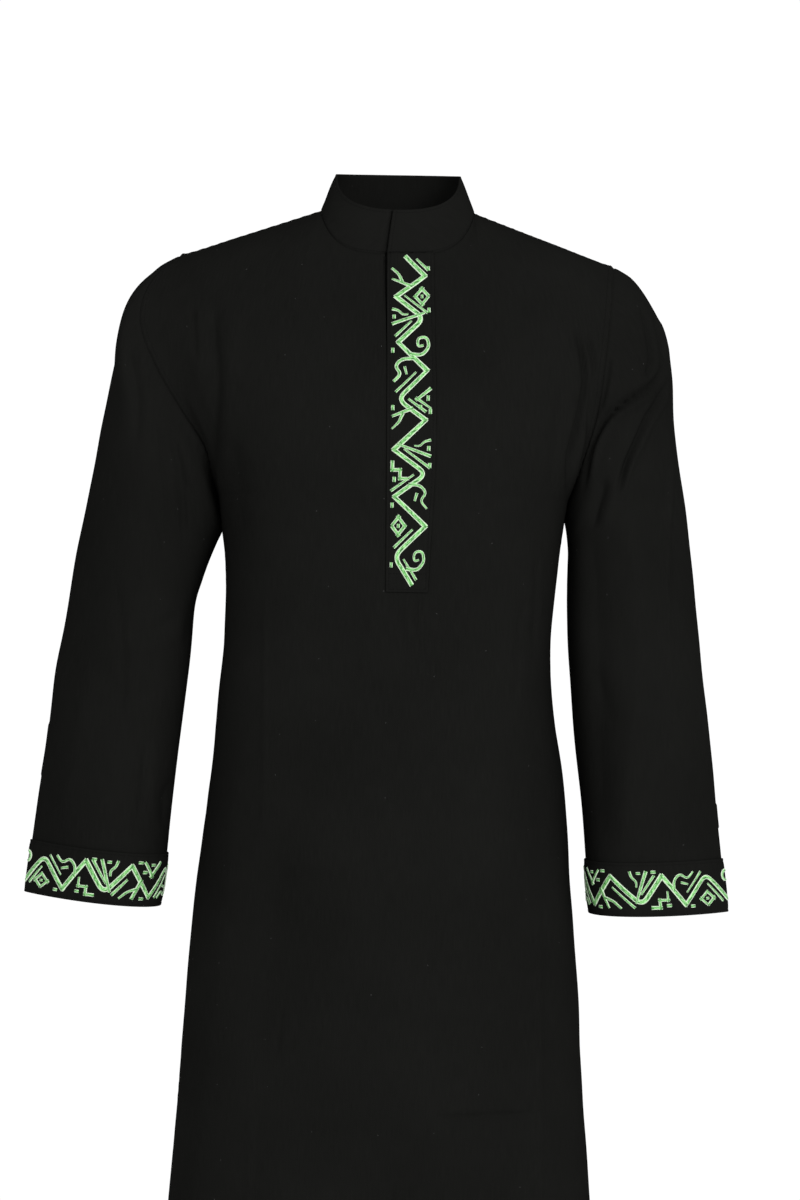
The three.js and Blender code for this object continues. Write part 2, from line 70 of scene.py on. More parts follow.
# Neck, collar, shoulders and placket, as in the solids
NECK = dict(wide=76, front=73.5, front_square=3.15, back=56, back_square=2.2, ridge=51)
COLLAR_TOP = dict(wide=62.5, front=58, front_square=2.4, back=50, back_square=2.2)
COLLAR_HEIGHT = dict(side=37, front=-5, back=44)
COLLAR_UNDERLAP = 30
SHOULDER_TIP = dict(out=216, left_drop=47.5, right_drop=52)
UNDERARM = dict(out=174, drop=288)
ARMHOLE = dict(front=62, back=58, bow_share=0.15)
PLACKET = dict(left=-8.6, width=43.8, bottom=379, slant=5)
UNDERLAP = dict(seam=9, share=0.75, sink=2.2)  # sink is how far the strip stands off behind the slit
SLIT = dict(end=363, low=0.5, high=3.2, from_drop=64, to_drop=190)
RING_NECK = 101  # half the width on the underarm's ring that the neckline's columns run down to
EDGE_REACH = 75  # degrees round the body's ring over which a panel follows the armhole seam
EDGE_FALL = 1.3
CAP_FADE_ROWS = 6  # rows of a sleeve's table over which it leaves the armhole's shape
BAND_ROWS = 2  # rows of a sleeve's table that the hem band covers
COLLAR_BOW = 1.2
COLLAR_STEP = 2.4  # how far the under end stands off behind the upper one
# The sleeve stands fuller than an oval where it lies against the body.
UNDERARM_FILL = dict(square=0.55, depth=62, from_row=(0.0, 2.5), to_row=(6.0, 9.5))

# Stitched lines: off is the distance from the edge, sunk and line the depth and width of the dent
TOPSTITCH = dict(off=5.6, swell=0.3, wide=1.9, sunk=0.8, line=1.0)
HEM = dict(off=26, sunk=0.22, line=2.5)
COLLAR_STITCH = dict(off=2.6, top_sunk=0.25, end_sunk=0.2, line=1.3)
STRIP = dict(off=2.2, sunk=0.25, line=1.1, swell=0.35, swell_over=9)
PLACKET_BOX = 17  # from the placket's end up to the upper line of its stitched box
PLACKET_STITCH_TOP = 1.5
CUFF_STITCH_TOP = 1.6
STITCH = dict(pitch=3.2, long=2.5, radius=0.24, sides=6, sunk=0.55, look=0.8)
STITCH_SHAPE = table("at size", (-0.5, 0.25), (-0.36, 0.85), (0, 1), (0.36, 0.85), (0.5, 0.25))

# Mesh steps
EDGE_STEPS = (0.0, 0.8, 1.8, 3.2, 5.2)
COLUMN_PITCH = 2.95
SKIRT_PITCH = 9.0
YOKE_PITCH = 3.2
SLEEVE_PITCH = 3.0
COLLAR_PITCH = 2.4
COLLAR_ROWS = 16
COLLAR_CLOSE_ROWS = (0.015, 0.035, 0.965, 0.985)
PRESSED = dict(drop=878, reach=12, pitch=2.4)  # the skirt's sharp cross crease, with rows close together
SLEEVE_COLUMNS = 200
BAND_COLUMNS = 280
BAND_STEPS = dict(count=26, low=(0.5, 1.2), high=(0.5, 1.2))
PLACKET_ACROSS = dict(count=34, low=(0.5, 1.1), high=(0.5, 1.1))
PLACKET_ALONG = dict(count=150, low=(0.5, 1.1), high=(0.6,))
UNDERLAP_STEPS = (24, 80)
# How many points are taken to measure a curve along
FINE = dict(row=260, yoke=240, columns=40, sleeve=300, neck_back=400, neck_left=160, lap=60, cuff_line=400,
            placket_line=200, bend=9)

# Creases, unevenness of the cloth, and pucker beside its seams
CREASE = dict(reach=5, power=1.6, lip_at=2, lip_wide=1.35, grow=(-0.02, 0.2), die=(0.7, 1.02))
UNEVEN = dict(depth=0.6, shortest=38, longest=170)
COLLAR_UNEVEN = dict(depth=0.35, shortest=30, longest=90)
UNEVEN_WAVES = dict(count=26, turn=0.75, lean=0.35, power=0.8)
SEEDS = dict(front=11, back=23, left=37, right=41, collar=5, embroidery=7)
PLACKET_GIVE = 0.3  # the share of the front's unevenness that shows through the placket
PUCKER = dict(depth=0.35, off=3.2, wide=3.6, pitch=10.5, drift=1.5, drift_run=37)
# Distances from the edges and seams over which creases and unevenness set in
PANEL_FADE = dict(side=(5.6, 13.6), top=(1, 13))
SLEEVE_FADE = dict(cap=(1, 8), hem=(35, 90), least=0.35, facing=(-0.1, 0.35))
COLLAR_FADE = (1, 9)

# Looks
LINT = dict(apart=52.0, size=0.3, rarity=0.62, colour=(0.12, 0.12, 0.12))
THREADS = 0.35
DYE_RANGE = (0.8, 1.22)
STRAND_SHARE = 0.45  # the part of the thread's shading that comes from its strands

BODY_RINGS = table(
    "drop left right front back square",
    (288, 174, 174, 131, 112, 2.6),
    (350, 166, 166, 134, 111, 2.55),
    (420, 165, 160, 136, 110, 2.5),
    (480, 170, 162, 138, 112, 2.5),
    (560, 176, 173, 141, 118, 2.45),
    (700, 192, 186, 145, 129, 2.4),
    (900, 205, 201, 150, 140, 2.35),
    (1150, 223, 222, 157, 153, 2.3),
    (1420, 243, 243, 166, 168, 2.25),
)
FRONT_FLUTES = table(
    "at wide depth start",
    (20, 9, 6, 620),
    (43, 9, -5, 700),
    (74, 11, 3.5, 800),
    (101, 9, -4, 760),
    (131, 10, 4.5, 700),
    (158, 8, 6.5, 560),
)
BACK_FLUTES = table(
    "at wide depth start",
    (17, 9, 7, 520),
    (40, 8, -9, 430),
    (66, 10, 10, 380),
    (92, 9, -10, 460),
    (117, 9, 9, 400),
    (143, 8, -8, 440),
    (164, 9, 7, 540),
)
LEFT_BOW = table("at out", (0, 0), (0.1, 35), (0.27, 50), (0.46, 40), (0.66, 20), (0.8, 3), (1, 0))
RIGHT_BOW = table("at out", (0, 0), (0.32, 6), (0.64, 10), (0.84, 6), (1, 0))
LEFT_SLEEVE = table(
    "outer outer_drop inner inner_drop depth middle crease",
    (216, 47.5, 174, 288, 60, 2, 0),
    (238, 60, 171.6, 300, 62, 2, 0),
    (258, 84, 169.2, 317, 64, 2, 0),
    (272, 117, 175.5, 333, 65, 3, 0.05),
    (281, 158, 182, 350, 65, 4, 0.1),
    (291, 208, 189, 371, 64, 5, 0.15),
    (302, 270, 196, 398, 62, 4, 0.25),
    (315, 345, 199.5, 447, 59, 1, 0.4),
    (328, 433, 205.5, 503, 55, -6, 0.55),
    (341, 539, 212.5, 576, 50, -17, 0.7),
    (351.5, 631, 217.5, 642, 46, -26, 0.8),
    (354.5, 656, 220.5, 667, 45, -29, 0.8),
    (357, 681, 223.5, 692, 44, -31, 0.8),
)
RIGHT_SLEEVE = table(
    "outer outer_drop inner inner_drop depth middle crease",
    (216, 52, 174, 288, 60, 2, 0),
    (235, 62, 172.0, 300, 62, 2, 0),
    (253, 86, 174.4, 317, 64, 2, 0),
    (270, 118, 176, 335, 65, 3, 0.05),
    (277, 158, 176, 352, 65, 4, 0.1),
    (281, 209, 176, 373, 64, 5, 0.15),
    (290, 273, 176.5, 400, 62, 4, 0.25),
    (300, 349, 179, 449, 59, 1, 0.4),
    (310, 437, 184, 505, 55, -6, 0.55),
    (322, 543, 192, 577, 50, -17, 0.7),
    (332, 638, 197.5, 641, 46, -26, 0.8),
    (335, 664, 199.5, 667, 45, -29, 0.8),
    (337.5, 689, 202, 692, 44, -31, 0.8),
)
SIDES = {
    "left": dict(sign=-1, tip_drop=SHOULDER_TIP["left_drop"], bow=LEFT_BOW, sleeve=LEFT_SLEEVE),
    "right": dict(sign=1, tip_drop=SHOULDER_TIP["right_drop"], bow=RIGHT_BOW, sleeve=RIGHT_SLEEVE),
}
FACES = {
    "front": dict(sign=-1, flutes=FRONT_FLUTES),
    "back": dict(sign=1, flutes=BACK_FLUTES),
}

# Creases: depth is outwards, width is half a fold's, and lip is the height of the soft ridge beside a
# trough as a share of its depth. Each route is in x and z, as seen from the front.


def crease(depth, width, lip, *route, face="front"):
    return dict(depth=depth, width=width, lip=lip, route=route, face=face)


FRONT_CREASES = [
    # armpit and chest, viewer's right
    crease(-8.0, 3.2, 0.4, (175, -110), (182, -134), (186, -154), (187, -174), (184, -196), (178, -223),
           (173, -249), (171, -290)),
    crease(-7.0, 3.0, 0.3, (184, -116), (191, -138), (195, -158), (194, -180), (191, -200), (187, -226)),
    crease(-5.0, 3.0, 0.3, (205, -166), (200, -192), (195, -214), (189, -246)),
    crease(-2.4, 8, 0.4, (164, -140), (163, -190), (157, -240), (152, -300)),
    crease(-1.6, 7, 0.4, (152, -110), (154, -150), (148, -196)),
    # armpit and chest, viewer's left
    crease(2.0, 7, 0, (-194, -98), (-194, -135), (-191, -170), (-187, -196)),
    crease(-2.8, 2.8, 0, (-199, -102), (-196, -135), (-193, -162)),
    crease(-3.4, 5.4, 0.3, (-178, -92), (-177, -136), (-173, -169), (-173, -202), (-176, -240), (-173, -292)),
    crease(1.8, 8, 0, (-157, -104), (-158, -142), (-159, -182)),
    crease(-4.6, 4.0, 0.3, (-212, -190), (-200, -214), (-190, -238), (-182, -262), (-177, -290)),
    crease(-1.8, 9, 0.3, (-158, -230), (-150, -280), (-147, -340)),
    # below the placket
    crease(-1.8, 3.2, 0.4, (6, -384), (9, -402), (13, -420), (17, -446)),
    crease(-1.5, 3.2, 0.4, (24, -384), (23, -411), (22, -440)),
    crease(1.0, 9, 0, (-12, -382), (-20, -430), (-34, -500)),
    # creases left by pressing and packing
    crease(1.0, 2.6, 0, (140, -66), (139, -97), (138, -130), (138, -196)),
    crease(1.1, 2.6, 0, (-121, -370), (-120, -458), (-118, -547), (-119, -640)),
    crease(-1.2, 3.0, 0.4, (141, -340), (140, -401), (139, -445)),
    crease(-1.0, 3.4, 0.4, (128, -372), (124, -430), (122, -500)),
    crease(1.4, 3.0, 0, (150, -660), (151, -760), (153, -880), (155, -1010), (158, -1160)),
    crease(1.4, 3.0, 0, (-125, -850), (-127, -930), (-130, -1060), (-134, -1220)),
    crease(-1.3, 3.0, 0.5, (-96, -776), (-99, -803), (-104, -832)),
    crease(-2.6, 3.4, 0.3, (48, -879), (80, -878), (105, -877), (132, -878), (160, -879)),
    crease(-1.0, 5.0, 0.4, (-186, -640), (-120, -652), (-40, -650), (60, -656)),
    # the skirt's long soft folds
    crease(2.4, 17, 0, (-140, -470), (-150, -640), (-166, -830), (-188, -1060), (-205, -1300)),
    crease(-2.4, 18, 0.3, (-96, -540), (-108, -700), (-120, -900), (-134, -1150), (-146, -1400)),
    crease(1.8, 20, 0, (-44, -620), (-52, -800), (-60, -1000), (-66, -1240)),
    crease(-1.8, 19, 0.2, (34, -560), (40, -740), (46, -980), (52, -1260)),
    crease(2.2, 19, 0, (92, -460), (102, -640), (112, -860), (124, -1120), (134, -1390)),
    crease(-2.6, 15, 0.4, (138, -430), (148, -600), (166, -820), (188, -1080), (206, -1330)),
]
BACK_CREASES = [
    crease(-5.0, 4.6, 0.6, (178, -112), (185, -146), (180, -190), (170, -232), (166, -280)),
    crease(-3.6, 5.5, 0.5, (166, -130), (168, -180), (156, -240), (146, -310)),
    crease(-4.6, 4.8, -0.6, (-182, -108), (-186, -150), (-180, -204), (-168, -262)),
    crease(-3.4, 6, -0.5, (-164, -140), (-160, -196), (-150, -256), (-140, -330)),
    crease(-1.9, 8, 0.5, (-70, -24), (-104, -60), (-140, -96)),
    crease(-2.0, 8, 0.5, (66, -24), (100, -62), (138, -100)),
    crease(-2.4, 9, 0.5, (-120, -330), (-60, -352), (10, -356), (80, -346)),
    crease(-2.0, 8, 0.5, (-60, -392), (0, -404), (70, -398), (124, -376)),
    crease(1.0, 2.6, 0, (2, -60), (1, -200), (3, -420), (2, -700), (4, -1000), (3, -1300)),
    crease(-1.3, 3.6, 0.5, (-96, -910), (-20, -906), (60, -912), (120, -908)),
    crease(3.0, 17, 0, (-120, -480), (-136, -700), (-150, -980), (-168, -1300)),
    crease(-3.0, 17, 0.3, (-60, -430), (-70, -660), (-84, -980), (-96, -1360)),
    crease(2.8, 19, 0, (16, -500), (14, -760), (10, -1060), (6, -1390)),
    crease(-2.9, 16, 0.3, (84, -440), (96, -700), (112, -1000), (126, -1380)),
]
SLEEVE_CREASES = {
    "left": [
        crease(-3.2, 6, 0.4, (-262, -140), (-259, -157), (-253, -181), (-251, -204), (-253, -246)),
        crease(-4.0, 4.6, 0.5, (-218, -222), (-214, -240), (-208, -268), (-205, -300), (-203, -340)),
        crease(-2.4, 4.0, 0.4, (-200, -272), (-196, -296), (-191, -322)),
        crease(-1.8, 7, 0.4, (-238, -190), (-232, -240), (-226, -300), (-224, -360)),
        crease(-3.4, 4.6, 0.6, (-184, -372), (-190, -392), (-196, -412), (-202, -440)),
        crease(-2.2, 7, 0.5, (-206, -404), (-230, -420), (-258, -424)),
        crease(-1.6, 5, 0.4, (-272, -370), (-265, -410), (-261, -464), (-263, -520)),
        crease(-1.8, 8, 0.5, (-222, -474), (-250, -486), (-284, -480)),
        crease(-2.4, 4.6, 0.5, (-237, -525), (-239, -569), (-243, -620)),
        crease(-2.0, 4, 0.5, (-214, -566), (-220, -590), (-218, -622)),
        crease(2.6, 14, 0, (-292, -440), (-304, -520), (-316, -600), (-322, -640)),
        crease(-4.0, 6, 0.6, (-238, -140), (-232, -200), (-220, -270), (-214, -340), face="back"),
        crease(-3.2, 8, 0.6, (-214, -396), (-250, -420), (-296, -412), face="back"),
        crease(-2.6, 7, 0.5, (-220, -446), (-258, -462), (-304, -450), face="back"),
        crease(-2.0, 7, 0.5, (-262, -500), (-276, -560), (-284, -630), face="back"),
    ],
    "right": [
        crease(-6.4, 2.8, 0.5, (270, -146), (257, -167), (242, -180), (226, -190), (209, -204), (198, -223),
               (192, -243), (187, -280)),
        crease(-6.0, 2.6, 0.5, (271, -164), (260, -188), (249, -204), (242, -219), (233, -238), (226, -256),
               (218, -290)),
        crease(-4.4, 2.6, 0.4, (248, -120), (252, -142), (249, -158), (242, -170)),
        crease(-4.4, 2.6, 0.4, (258, -100), (263, -124), (268, -146)),
        crease(-3.6, 2.6, 0.4, (243, -92), (247, -110), (252, -132)),
        crease(-4.2, 2.8, 0.4, (209, -142), (206, -170), (200, -202)),
        crease(-3.4, 5.0, 0.5, (207, -262), (205, -279), (201, -293), (196, -316)),
        crease(4.2, 14, 0, (218, -260), (224, -303), (237, -350), (242, -398), (243, -470), (236, -541),
               (231, -599), (230, -640)),
        crease(-4.2, 14, 0, (190, -290), (197, -340), (202, -390), (205, -447), (205, -495), (208, -553),
               (212, -640)),
        crease(-1.6, 10, 0.3, (262, -330), (266, -420), (272, -510), (280, -600)),
        crease(2.2, 3.4, 0, (276, -220), (277, -253), (272, -325), (274, -412), (280, -470)),
        crease(-2.0, 10, 0.3, (194, -448), (208, -472), (218, -510)),
        crease(-4.2, 6, 0.6, (214, -160), (216, -220), (206, -290), (200, -350), face="back"),
        crease(-3.2, 8, 0.6, (194, -400), (232, -424), (280, -418), face="back"),
        crease(-2.4, 7, 0.5, (200, -452), (238, -466), (286, -460), face="back"),
        crease(-1.9, 7, 0.5, (244, -510), (254, -570), (262, -640), face="back"),
    ],
}

# Embroidery: a bold line that goes from side to side of the band, sharp at some bends and round at
# others, some of its legs doubled, with a smaller shape in each bend. A shape's strokes each have a
# width, a radius for their corners, and points in millimetres in from the band's edge and along it
# from the bend's middle. Its ticks are small filled rectangles.
STROKE = 5.3
STROKE_HEIGHT = 0.9
STROKE_SUNK = 0.3
STEEPEST = 0.42  # most height of a stroke for its width
DOME = table("at rise", (-1, 0), (-0.86, 0.55), (-0.5, 0.9), (0, 1), (0.5, 0.9), (0.86, 0.55), (1, 0))
LEG_PITCH = 2.5
CURVE_PITCH = 1.1
LAP = dict(most=0.8, lift=0.07)  # how far and how high straight columns overlap at a corner
CROSSING_LIFT = 0.3
BAND_EDGE = 19.0  # from the band's middle line
BEND_REACH = (12.0, 16.2)
BEND_APART = (0.8, 1.22)
ROUND_BEND = 9.0
BOLD_WIDTH = dict(first=(0.9, 1.1), last=(0.8, 1.05))
SHAPE_WIDTH = dict(first=(0.92, 1.12), last=(0.5, 0.9))
TICK_SIZE = (0.9, 1.1)
TWIN = dict(off=6.4, wide=(2.6, 3.6), first=(0.0, 0.14), last=(0.66, 0.86), narrowing=0.7, lift=0.1)
PLACKET_BENDS = 14
CUFF_BENDS = 14
EMBROIDERY_ENDS = (7, 6)  # from the placket's lower and upper ends to the line's ends
END_REACH = 4.5
CUFF_MIDDLE = 26  # below the band's upper edge
TICK = dict(wide=3.4, long=4.8, onward=8.2)
SHAPES = {
    "tendril": dict(
        strokes=[(3.8, 4.5, (21, -11.5), (9, -13), (2, -4.5), (4.4, 5.6), (13, 4.6), (13, -4.6), (7.6, -3))],
        ticks=[],
    ),
    "lozenge": dict(
        strokes=[(3.4, 0, (1.6, 0), (8.2, -8.2), (14.8, 0), (8.2, 8.2), (1.6, 0))],
        ticks=[(8.2, 0, 3.0, 4.0)],
    ),
    "slash": dict(
        strokes=[
            (3.6, 0, (0.8, -6), (14, -1), (32, 5.5)),
            (3.0, 4.0, (1, 9.8), (7.4, 8.2), (11, 3.6), (16.5, 4.2)),
        ],
        ticks=[(3.0, 1.6, 3.2, 4.6)],
    ),
    "chevron": dict(
        strokes=[(3.8, 0, (0.8, -11), (13.5, -0.5), (0.8, 9))],
        ticks=[(3.8, -1.2, 3.4, 4.8), (10.8, 7.4, 3.2, 4.4)],
    ),
    "steps": dict(
        strokes=[(4.0, 0, (1.6, -12.5), (1.6, -3.6), (8.8, -3.6), (8.8, 4.6), (17.5, 4.6))],
        ticks=[(3.4, 5.6, 3.4, 4.8)],
    ),
    "wave": dict(
        strokes=[
            (3.6, 5.0, (21, -12), (10, -11.5), (3.4, -4), (9.6, 3.4), (2.4, 11)),
            (2.8, 0, (12.6, -4), (14.6, 4)),
        ],
        ticks=[],
    ),
    "fork": dict(
        strokes=[(4.0, 0, (20.5, 11.5), (0.8, 3.2)), (3.2, 3.0, (11, 6.4), (7.6, -2), (0.8, -9))],
        ticks=[],
    ),
}
SHAPE_ORDER = (
    "tendril", "lozenge", "wave", "steps", "slash", "fork", "chevron",
    "wave", "tendril", "slash", "lozenge", "fork", "steps", "wave",
)


def power(base, exponent):
    return np.sign(base) * np.abs(base) ** exponent


def smoothstep(x, low, high):
    t = np.clip((x - low) / (high - low), 0, 1)
    return t * t * (3 - 2 * t)


def mix(a, b, t):
    return a + (b - a) * t


def bell(x, width):
    return np.exp(-((x / width) ** 2))


def sine(degrees):
    return np.sin(np.radians(degrees))


def cosine(degrees):
    return np.cos(np.radians(degrees))


def unit(v):
    return v / np.maximum(np.linalg.norm(v, axis=-1, keepdims=True), 1e-9)


def along(rows, key, name, at):
    """The value of one column of a table between its rows, on a smooth curve through them."""
    x, y = rows[key], rows[name]
    k = np.clip(np.searchsorted(x, at, side="right") - 1, 0, len(x) - 2)

    def slope(j):
        a, b = np.maximum(j - 1, 0), np.minimum(j + 1, len(x) - 1)
        return (y[b] - y[a]) / (x[b] - x[a])

    span = x[k + 1] - x[k]
    t = (at - x[k]) / span
    bow = slope(k) * (1 - t) - slope(k + 1) * t
    return mix(y[k], y[k + 1], t * t * (3 - 2 * t)) + span * t * (1 - t) * bow


def run_along(path):
    """Length run so far along a path."""
    return np.concatenate([[0], np.cumsum(np.linalg.norm(np.diff(path, axis=0), axis=1))])


def sample(places, run, values):
    """A path's values at places along its run."""
    return np.stack([np.interp(places, run, column) for column in np.transpose(values)], -1)


# The garment's own form, by the same rules as the solids

RING_WIDE = BODY_RINGS["left"][0]
RING_SQUARE = BODY_RINGS["square"][0]
SIDE_NECK = np.array([NECK["wide"], 0.0, 0.0])


def outline_point(outline, angle):
    """A point of an outline seen from above: 0 is the left side neck point and 90 the front."""
    s = sine(angle)
    bend = np.where(s > 0, 2 / outline["front_square"], 2 / outline["back_square"])
    y = np.where(s > 0, -outline["front"], outline["back"]) * np.abs(s) ** bend
    return np.stack([-outline["wide"] * power(cosine(angle), bend), y, np.zeros_like(y)], -1)


def neck_point(angle):
    """The neckline, where its outline cuts the body's surface."""
    p = outline_point(NECK, np.asarray(angle, float))
    x, y = p[..., 0], p[..., 1]
    across = np.abs(x * RING_NECK / NECK["wide"]) / RING_WIDE
    reach = np.where(y < 0, BODY_RINGS["front"][0], BODY_RINGS["back"][0])
    reach = reach * (1 - across**RING_SQUARE) ** (1 / RING_SQUARE)
    ridge = np.where(y > 0, NECK["ridge"] * (1 - (x / NECK["wide"]) ** 2), 0)
    p[..., 2] = (UNDERARM["drop"] + ridge) * np.sqrt(1 - (y / reach) ** 2) - UNDERARM["drop"]
    return p


def angle_at(x, wide, square):
    """The angle at which an outline of this half width and squareness reaches x."""
    return 180 - np.degrees(np.arccos(power(np.asarray(x, float) / wide, square / 2)))


def neck_angle_at(x):
    return angle_at(x, NECK["wide"], NECK["front_square"])


def collar_top_point(angle):
    """The collar's upper edge."""
    p = outline_point(COLLAR_TOP, np.asarray(angle, float))
    y = p[..., 1]
    reach = np.where(y < 0, COLLAR_TOP["front"], COLLAR_TOP["back"])
    height = np.where(y < 0, COLLAR_HEIGHT["front"], COLLAR_HEIGHT["back"])
    p[..., 2] = mix(COLLAR_HEIGHT["side"], height, np.abs(y) / reach)
    return p


def shoulder_tip(side):
    return np.array([side["sign"] * SHOULDER_TIP["out"], 0.0, -side["tip_drop"]])


def armhole_point(side, angle):
    """The armhole seam: 0 is the shoulder tip, 90 the front and 180 the underarm."""
    angle = np.asarray(angle, float)
    s = sine(angle)
    down = (1 - cosine(angle)) / 2
    bow = np.where(s > 0, along(side["bow"], "at", "out", down) * np.sqrt(np.maximum(s, 0)), 0)
    out = mix(SHOULDER_TIP["out"], UNDERARM["out"], down) + bow
    depth = np.where(s > 0, ARMHOLE["front"] - ARMHOLE["bow_share"] * bow, ARMHOLE["back"])
    return np.stack([side["sign"] * out, -depth * s, -mix(side["tip_drop"], UNDERARM["drop"], down)], -1)


def ring_point(angle, drop, face):
    """Half a ring of the body: 0 is the left side seam and 180 the right one."""
    angle, drop = np.broadcast_arrays(np.asarray(angle, float), np.asarray(drop, float))
    c, s = cosine(angle), np.maximum(sine(angle), 0)

    def ring(name):
        return along(BODY_RINGS, "drop", name, drop)

    bend = 2 / ring("square")
    flute = np.zeros_like(angle)
    for at, wide, depth, start in zip(*FACES[face]["flutes"].values()):
        flute += depth * smoothstep(drop, start, FLUTE_END) * bell(angle - at, wide)
    x = np.where(c > 0, -ring("left"), ring("right")) * np.abs(c) ** bend - c * flute
    y = FACES[face]["sign"] * (ring(face) * s**bend + flute * s)
    return np.stack([x, y, -drop], -1)


def rise(angle, top, height, face, seam_depth):
    """A point above the underarm, from 0 on its ring to 1 on the top edge."""
    foot = ring_point(angle, UNDERARM["drop"], face)
    up = top - foot
    lean = (foot - ring_point(angle, UNDERARM["drop"] + 1, face)) * up[..., 2:]
    ease = height * (1 - height) ** 2
    inside = 1 - (foot[..., 1] / BODY_RINGS[face][0]) ** 2
    depth = foot[..., 1] ** 2 * (1 - height**2) + top[..., 1] ** 2 * height**2 + seam_depth**2 * inside
    x = foot[..., 0] + up[..., 0] * height + (lean[..., 0] - up[..., 0]) * ease
    y = FACES[face]["sign"] * np.sqrt(np.maximum(depth, 0)) + lean[..., 1] * ease
    return np.stack([x, y, foot[..., 2] + up[..., 2] * height], -1)


def yoke_points(angle, top, seam_angles, face):
    """Rows of a panel above the underarm, drawn across to the armhole seams at their ends."""
    height = (1 + cosine(seam_angles)) / 2
    result = np.zeros(top.shape)
    for side, edge, mine in ((SIDES["left"], 0.0, angle < 90), (SIDES["right"], 180.0, angle >= 90)):
        seam = armhole_point(side, seam_angles if face == "front" else 360 - seam_angles)
        plain = rise(np.full_like(height, edge), shoulder_tip(side), height, face, seam[..., 1])
        pull = np.maximum(1 - np.abs(angle - edge) / EDGE_REACH, 0) ** EDGE_FALL
        own = rise(angle, top, height, face, seam[..., 1]) + (seam - plain) * pull[..., None]
        result = np.where(mine[..., None], own, result)
    return result


NECK_DROP = -float(neck_point(90)[2])
UNDERARM_SLANT = PLACKET["slant"] * (UNDERARM["drop"] - NECK_DROP) / (PLACKET["bottom"] - NECK_DROP)
LIP = PLACKET["left"] - UNDERLAP["seam"]
PLACKET_END = PLACKET["left"] + PLACKET["width"]


def ring_place(x, face):
    """Where a column that starts at x on the neckline crosses the underarm's ring."""
    if face == "back":
        return x * RING_NECK / NECK["wide"]

    def spread(edge, sign):
        share = (x - edge) / (sign * NECK["wide"] - edge)
        return mix(edge + UNDERARM_SLANT, sign * RING_NECK, share)

    inner = np.where(x > PLACKET_END, spread(PLACKET_END, 1), x + UNDERARM_SLANT)
    return np.where(x < LIP, spread(LIP, -1), inner)


def column_at(q, face):
    """A panel's column, its top point and ring angle: q is 0 and 3 at the shoulder tips, 1 and 2 at
    the side neck points."""
    turn = np.clip(q - 1, 0, 1) * 180
    neck = neck_point(turn if face == "front" else 360 - turn)
    left = mix(shoulder_tip(SIDES["left"]), -SIDE_NECK, q[..., None])
    right = mix(SIDE_NECK, shoulder_tip(SIDES["right"]), q[..., None] - 2)
    top = np.where((q < 1)[..., None], left, np.where((q > 2)[..., None], right, neck))
    edge_angle = angle_at(-RING_NECK, RING_WIDE, RING_SQUARE)
    place = np.clip(ring_place(neck[..., 0], face), -RING_NECK, RING_NECK)
    angle = angle_at(place, RING_WIDE, RING_SQUARE)
    return top, np.where(q < 1, edge_angle * q, np.where(q > 2, 180 - edge_angle * (3 - q), angle))


def panel_points(q, drops, seam_angles, face):
    """Points of a panel: rows at drops from the hem up to the underarm, then at angles of the armhole."""
    top, angle = column_at(q, face)
    n = len(drops)
    skirt = ring_point(angle[:n], drops[:, None], face)
    return np.concatenate([skirt, yoke_points(angle[n:], top[n:], seam_angles[:, None], face)])


def sleeve_points(side, k, angle):
    """Points of a sleeve, at row places k of its table and round from its outer end by the front."""
    rows = dict(side["sleeve"], row=np.arange(len(side["sleeve"]["outer"]), dtype=float))
    outward = (1 + cosine(angle)) / 2

    def section(place):
        def at(name):
            return along(rows, "row", name, place)

        crease = np.maximum(at("crease"), 0)
        peak = -crease / (2 + crease)
        widest = np.sqrt(1 - peak * peak) * ((1 - peak) / 2) ** (crease / 2)
        swell = sine(angle) * np.abs(sine(angle / 2)) ** crease / widest
        x = side["sign"] * mix(at("inner"), at("outer"), outward)
        drop = mix(at("inner_drop"), at("outer_drop"), outward)
        return np.stack([x, at("middle") - at("depth") * swell, -drop], -1)

    fade = 1 - smoothstep(k, 0, CAP_FADE_ROWS)
    own = armhole_point(side, angle + 0 * k) - section(np.zeros_like(k + angle))
    return section(k + 0 * angle) + own * fade[..., None]


# Grids of points, as rows and columns


def lengths(points, axis):
    """Length run so far along each row (axis 1) or column (axis 0) of a grid."""
    step = np.linalg.norm(np.diff(points, axis=axis), axis=-1)
    pad = [(0, 0), (0, 0)]
    pad[axis] = (1, 0)
    return np.pad(np.cumsum(step, axis=axis), pad)


def steps(length, pitch, low_edge=False, high_edge=False):
    """Places along a length at about one pitch, closer together beside a seam or an edge."""
    first = EDGE_STEPS if low_edge else [0.0]
    last = [length - e for e in reversed(EDGE_STEPS)] if high_edge else [length]
    count = max(int(round((last[0] - first[-1]) / pitch)), 2)
    return np.concatenate([first, np.linspace(first[-1], last[0], count + 1)[1:-1], last])


def edged(length, count, low, high):
    """Even places along a length, and some more at distances from its two ends."""
    return np.unique(np.concatenate([np.linspace(0, length, count), low, length - np.array(high)]))


def spread_rows(points_at, q_range, row_count, pitch, low_edge, high_edge):
    """Column places for every row, so that each row is stepped by its own length."""
    dense = np.linspace(*q_range, FINE["row"])
    run = lengths(points_at(np.broadcast_to(dense, (row_count, len(dense))).copy()), 1)
    shape = steps(run[:, -1].mean(), pitch, low_edge, high_edge) / run[:, -1].mean()
    result = []
    for row in run:
        places = shape * row[-1]
        for j, edge in enumerate(EDGE_STEPS):
            if low_edge:
                places[j] = edge
            if high_edge:
                places[-1 - j] = row[-1] - edge
        result.append(np.interp(places, row, dense))
    return np.array(result)


def grid_normals(points, closed=False, flip=False):
    across = np.roll(points, -1, 1) - np.roll(points, 1, 1) if closed else np.gradient(points, axis=1)
    normals = unit(np.cross(across, np.gradient(points, axis=0)))
    return -normals if flip else normals


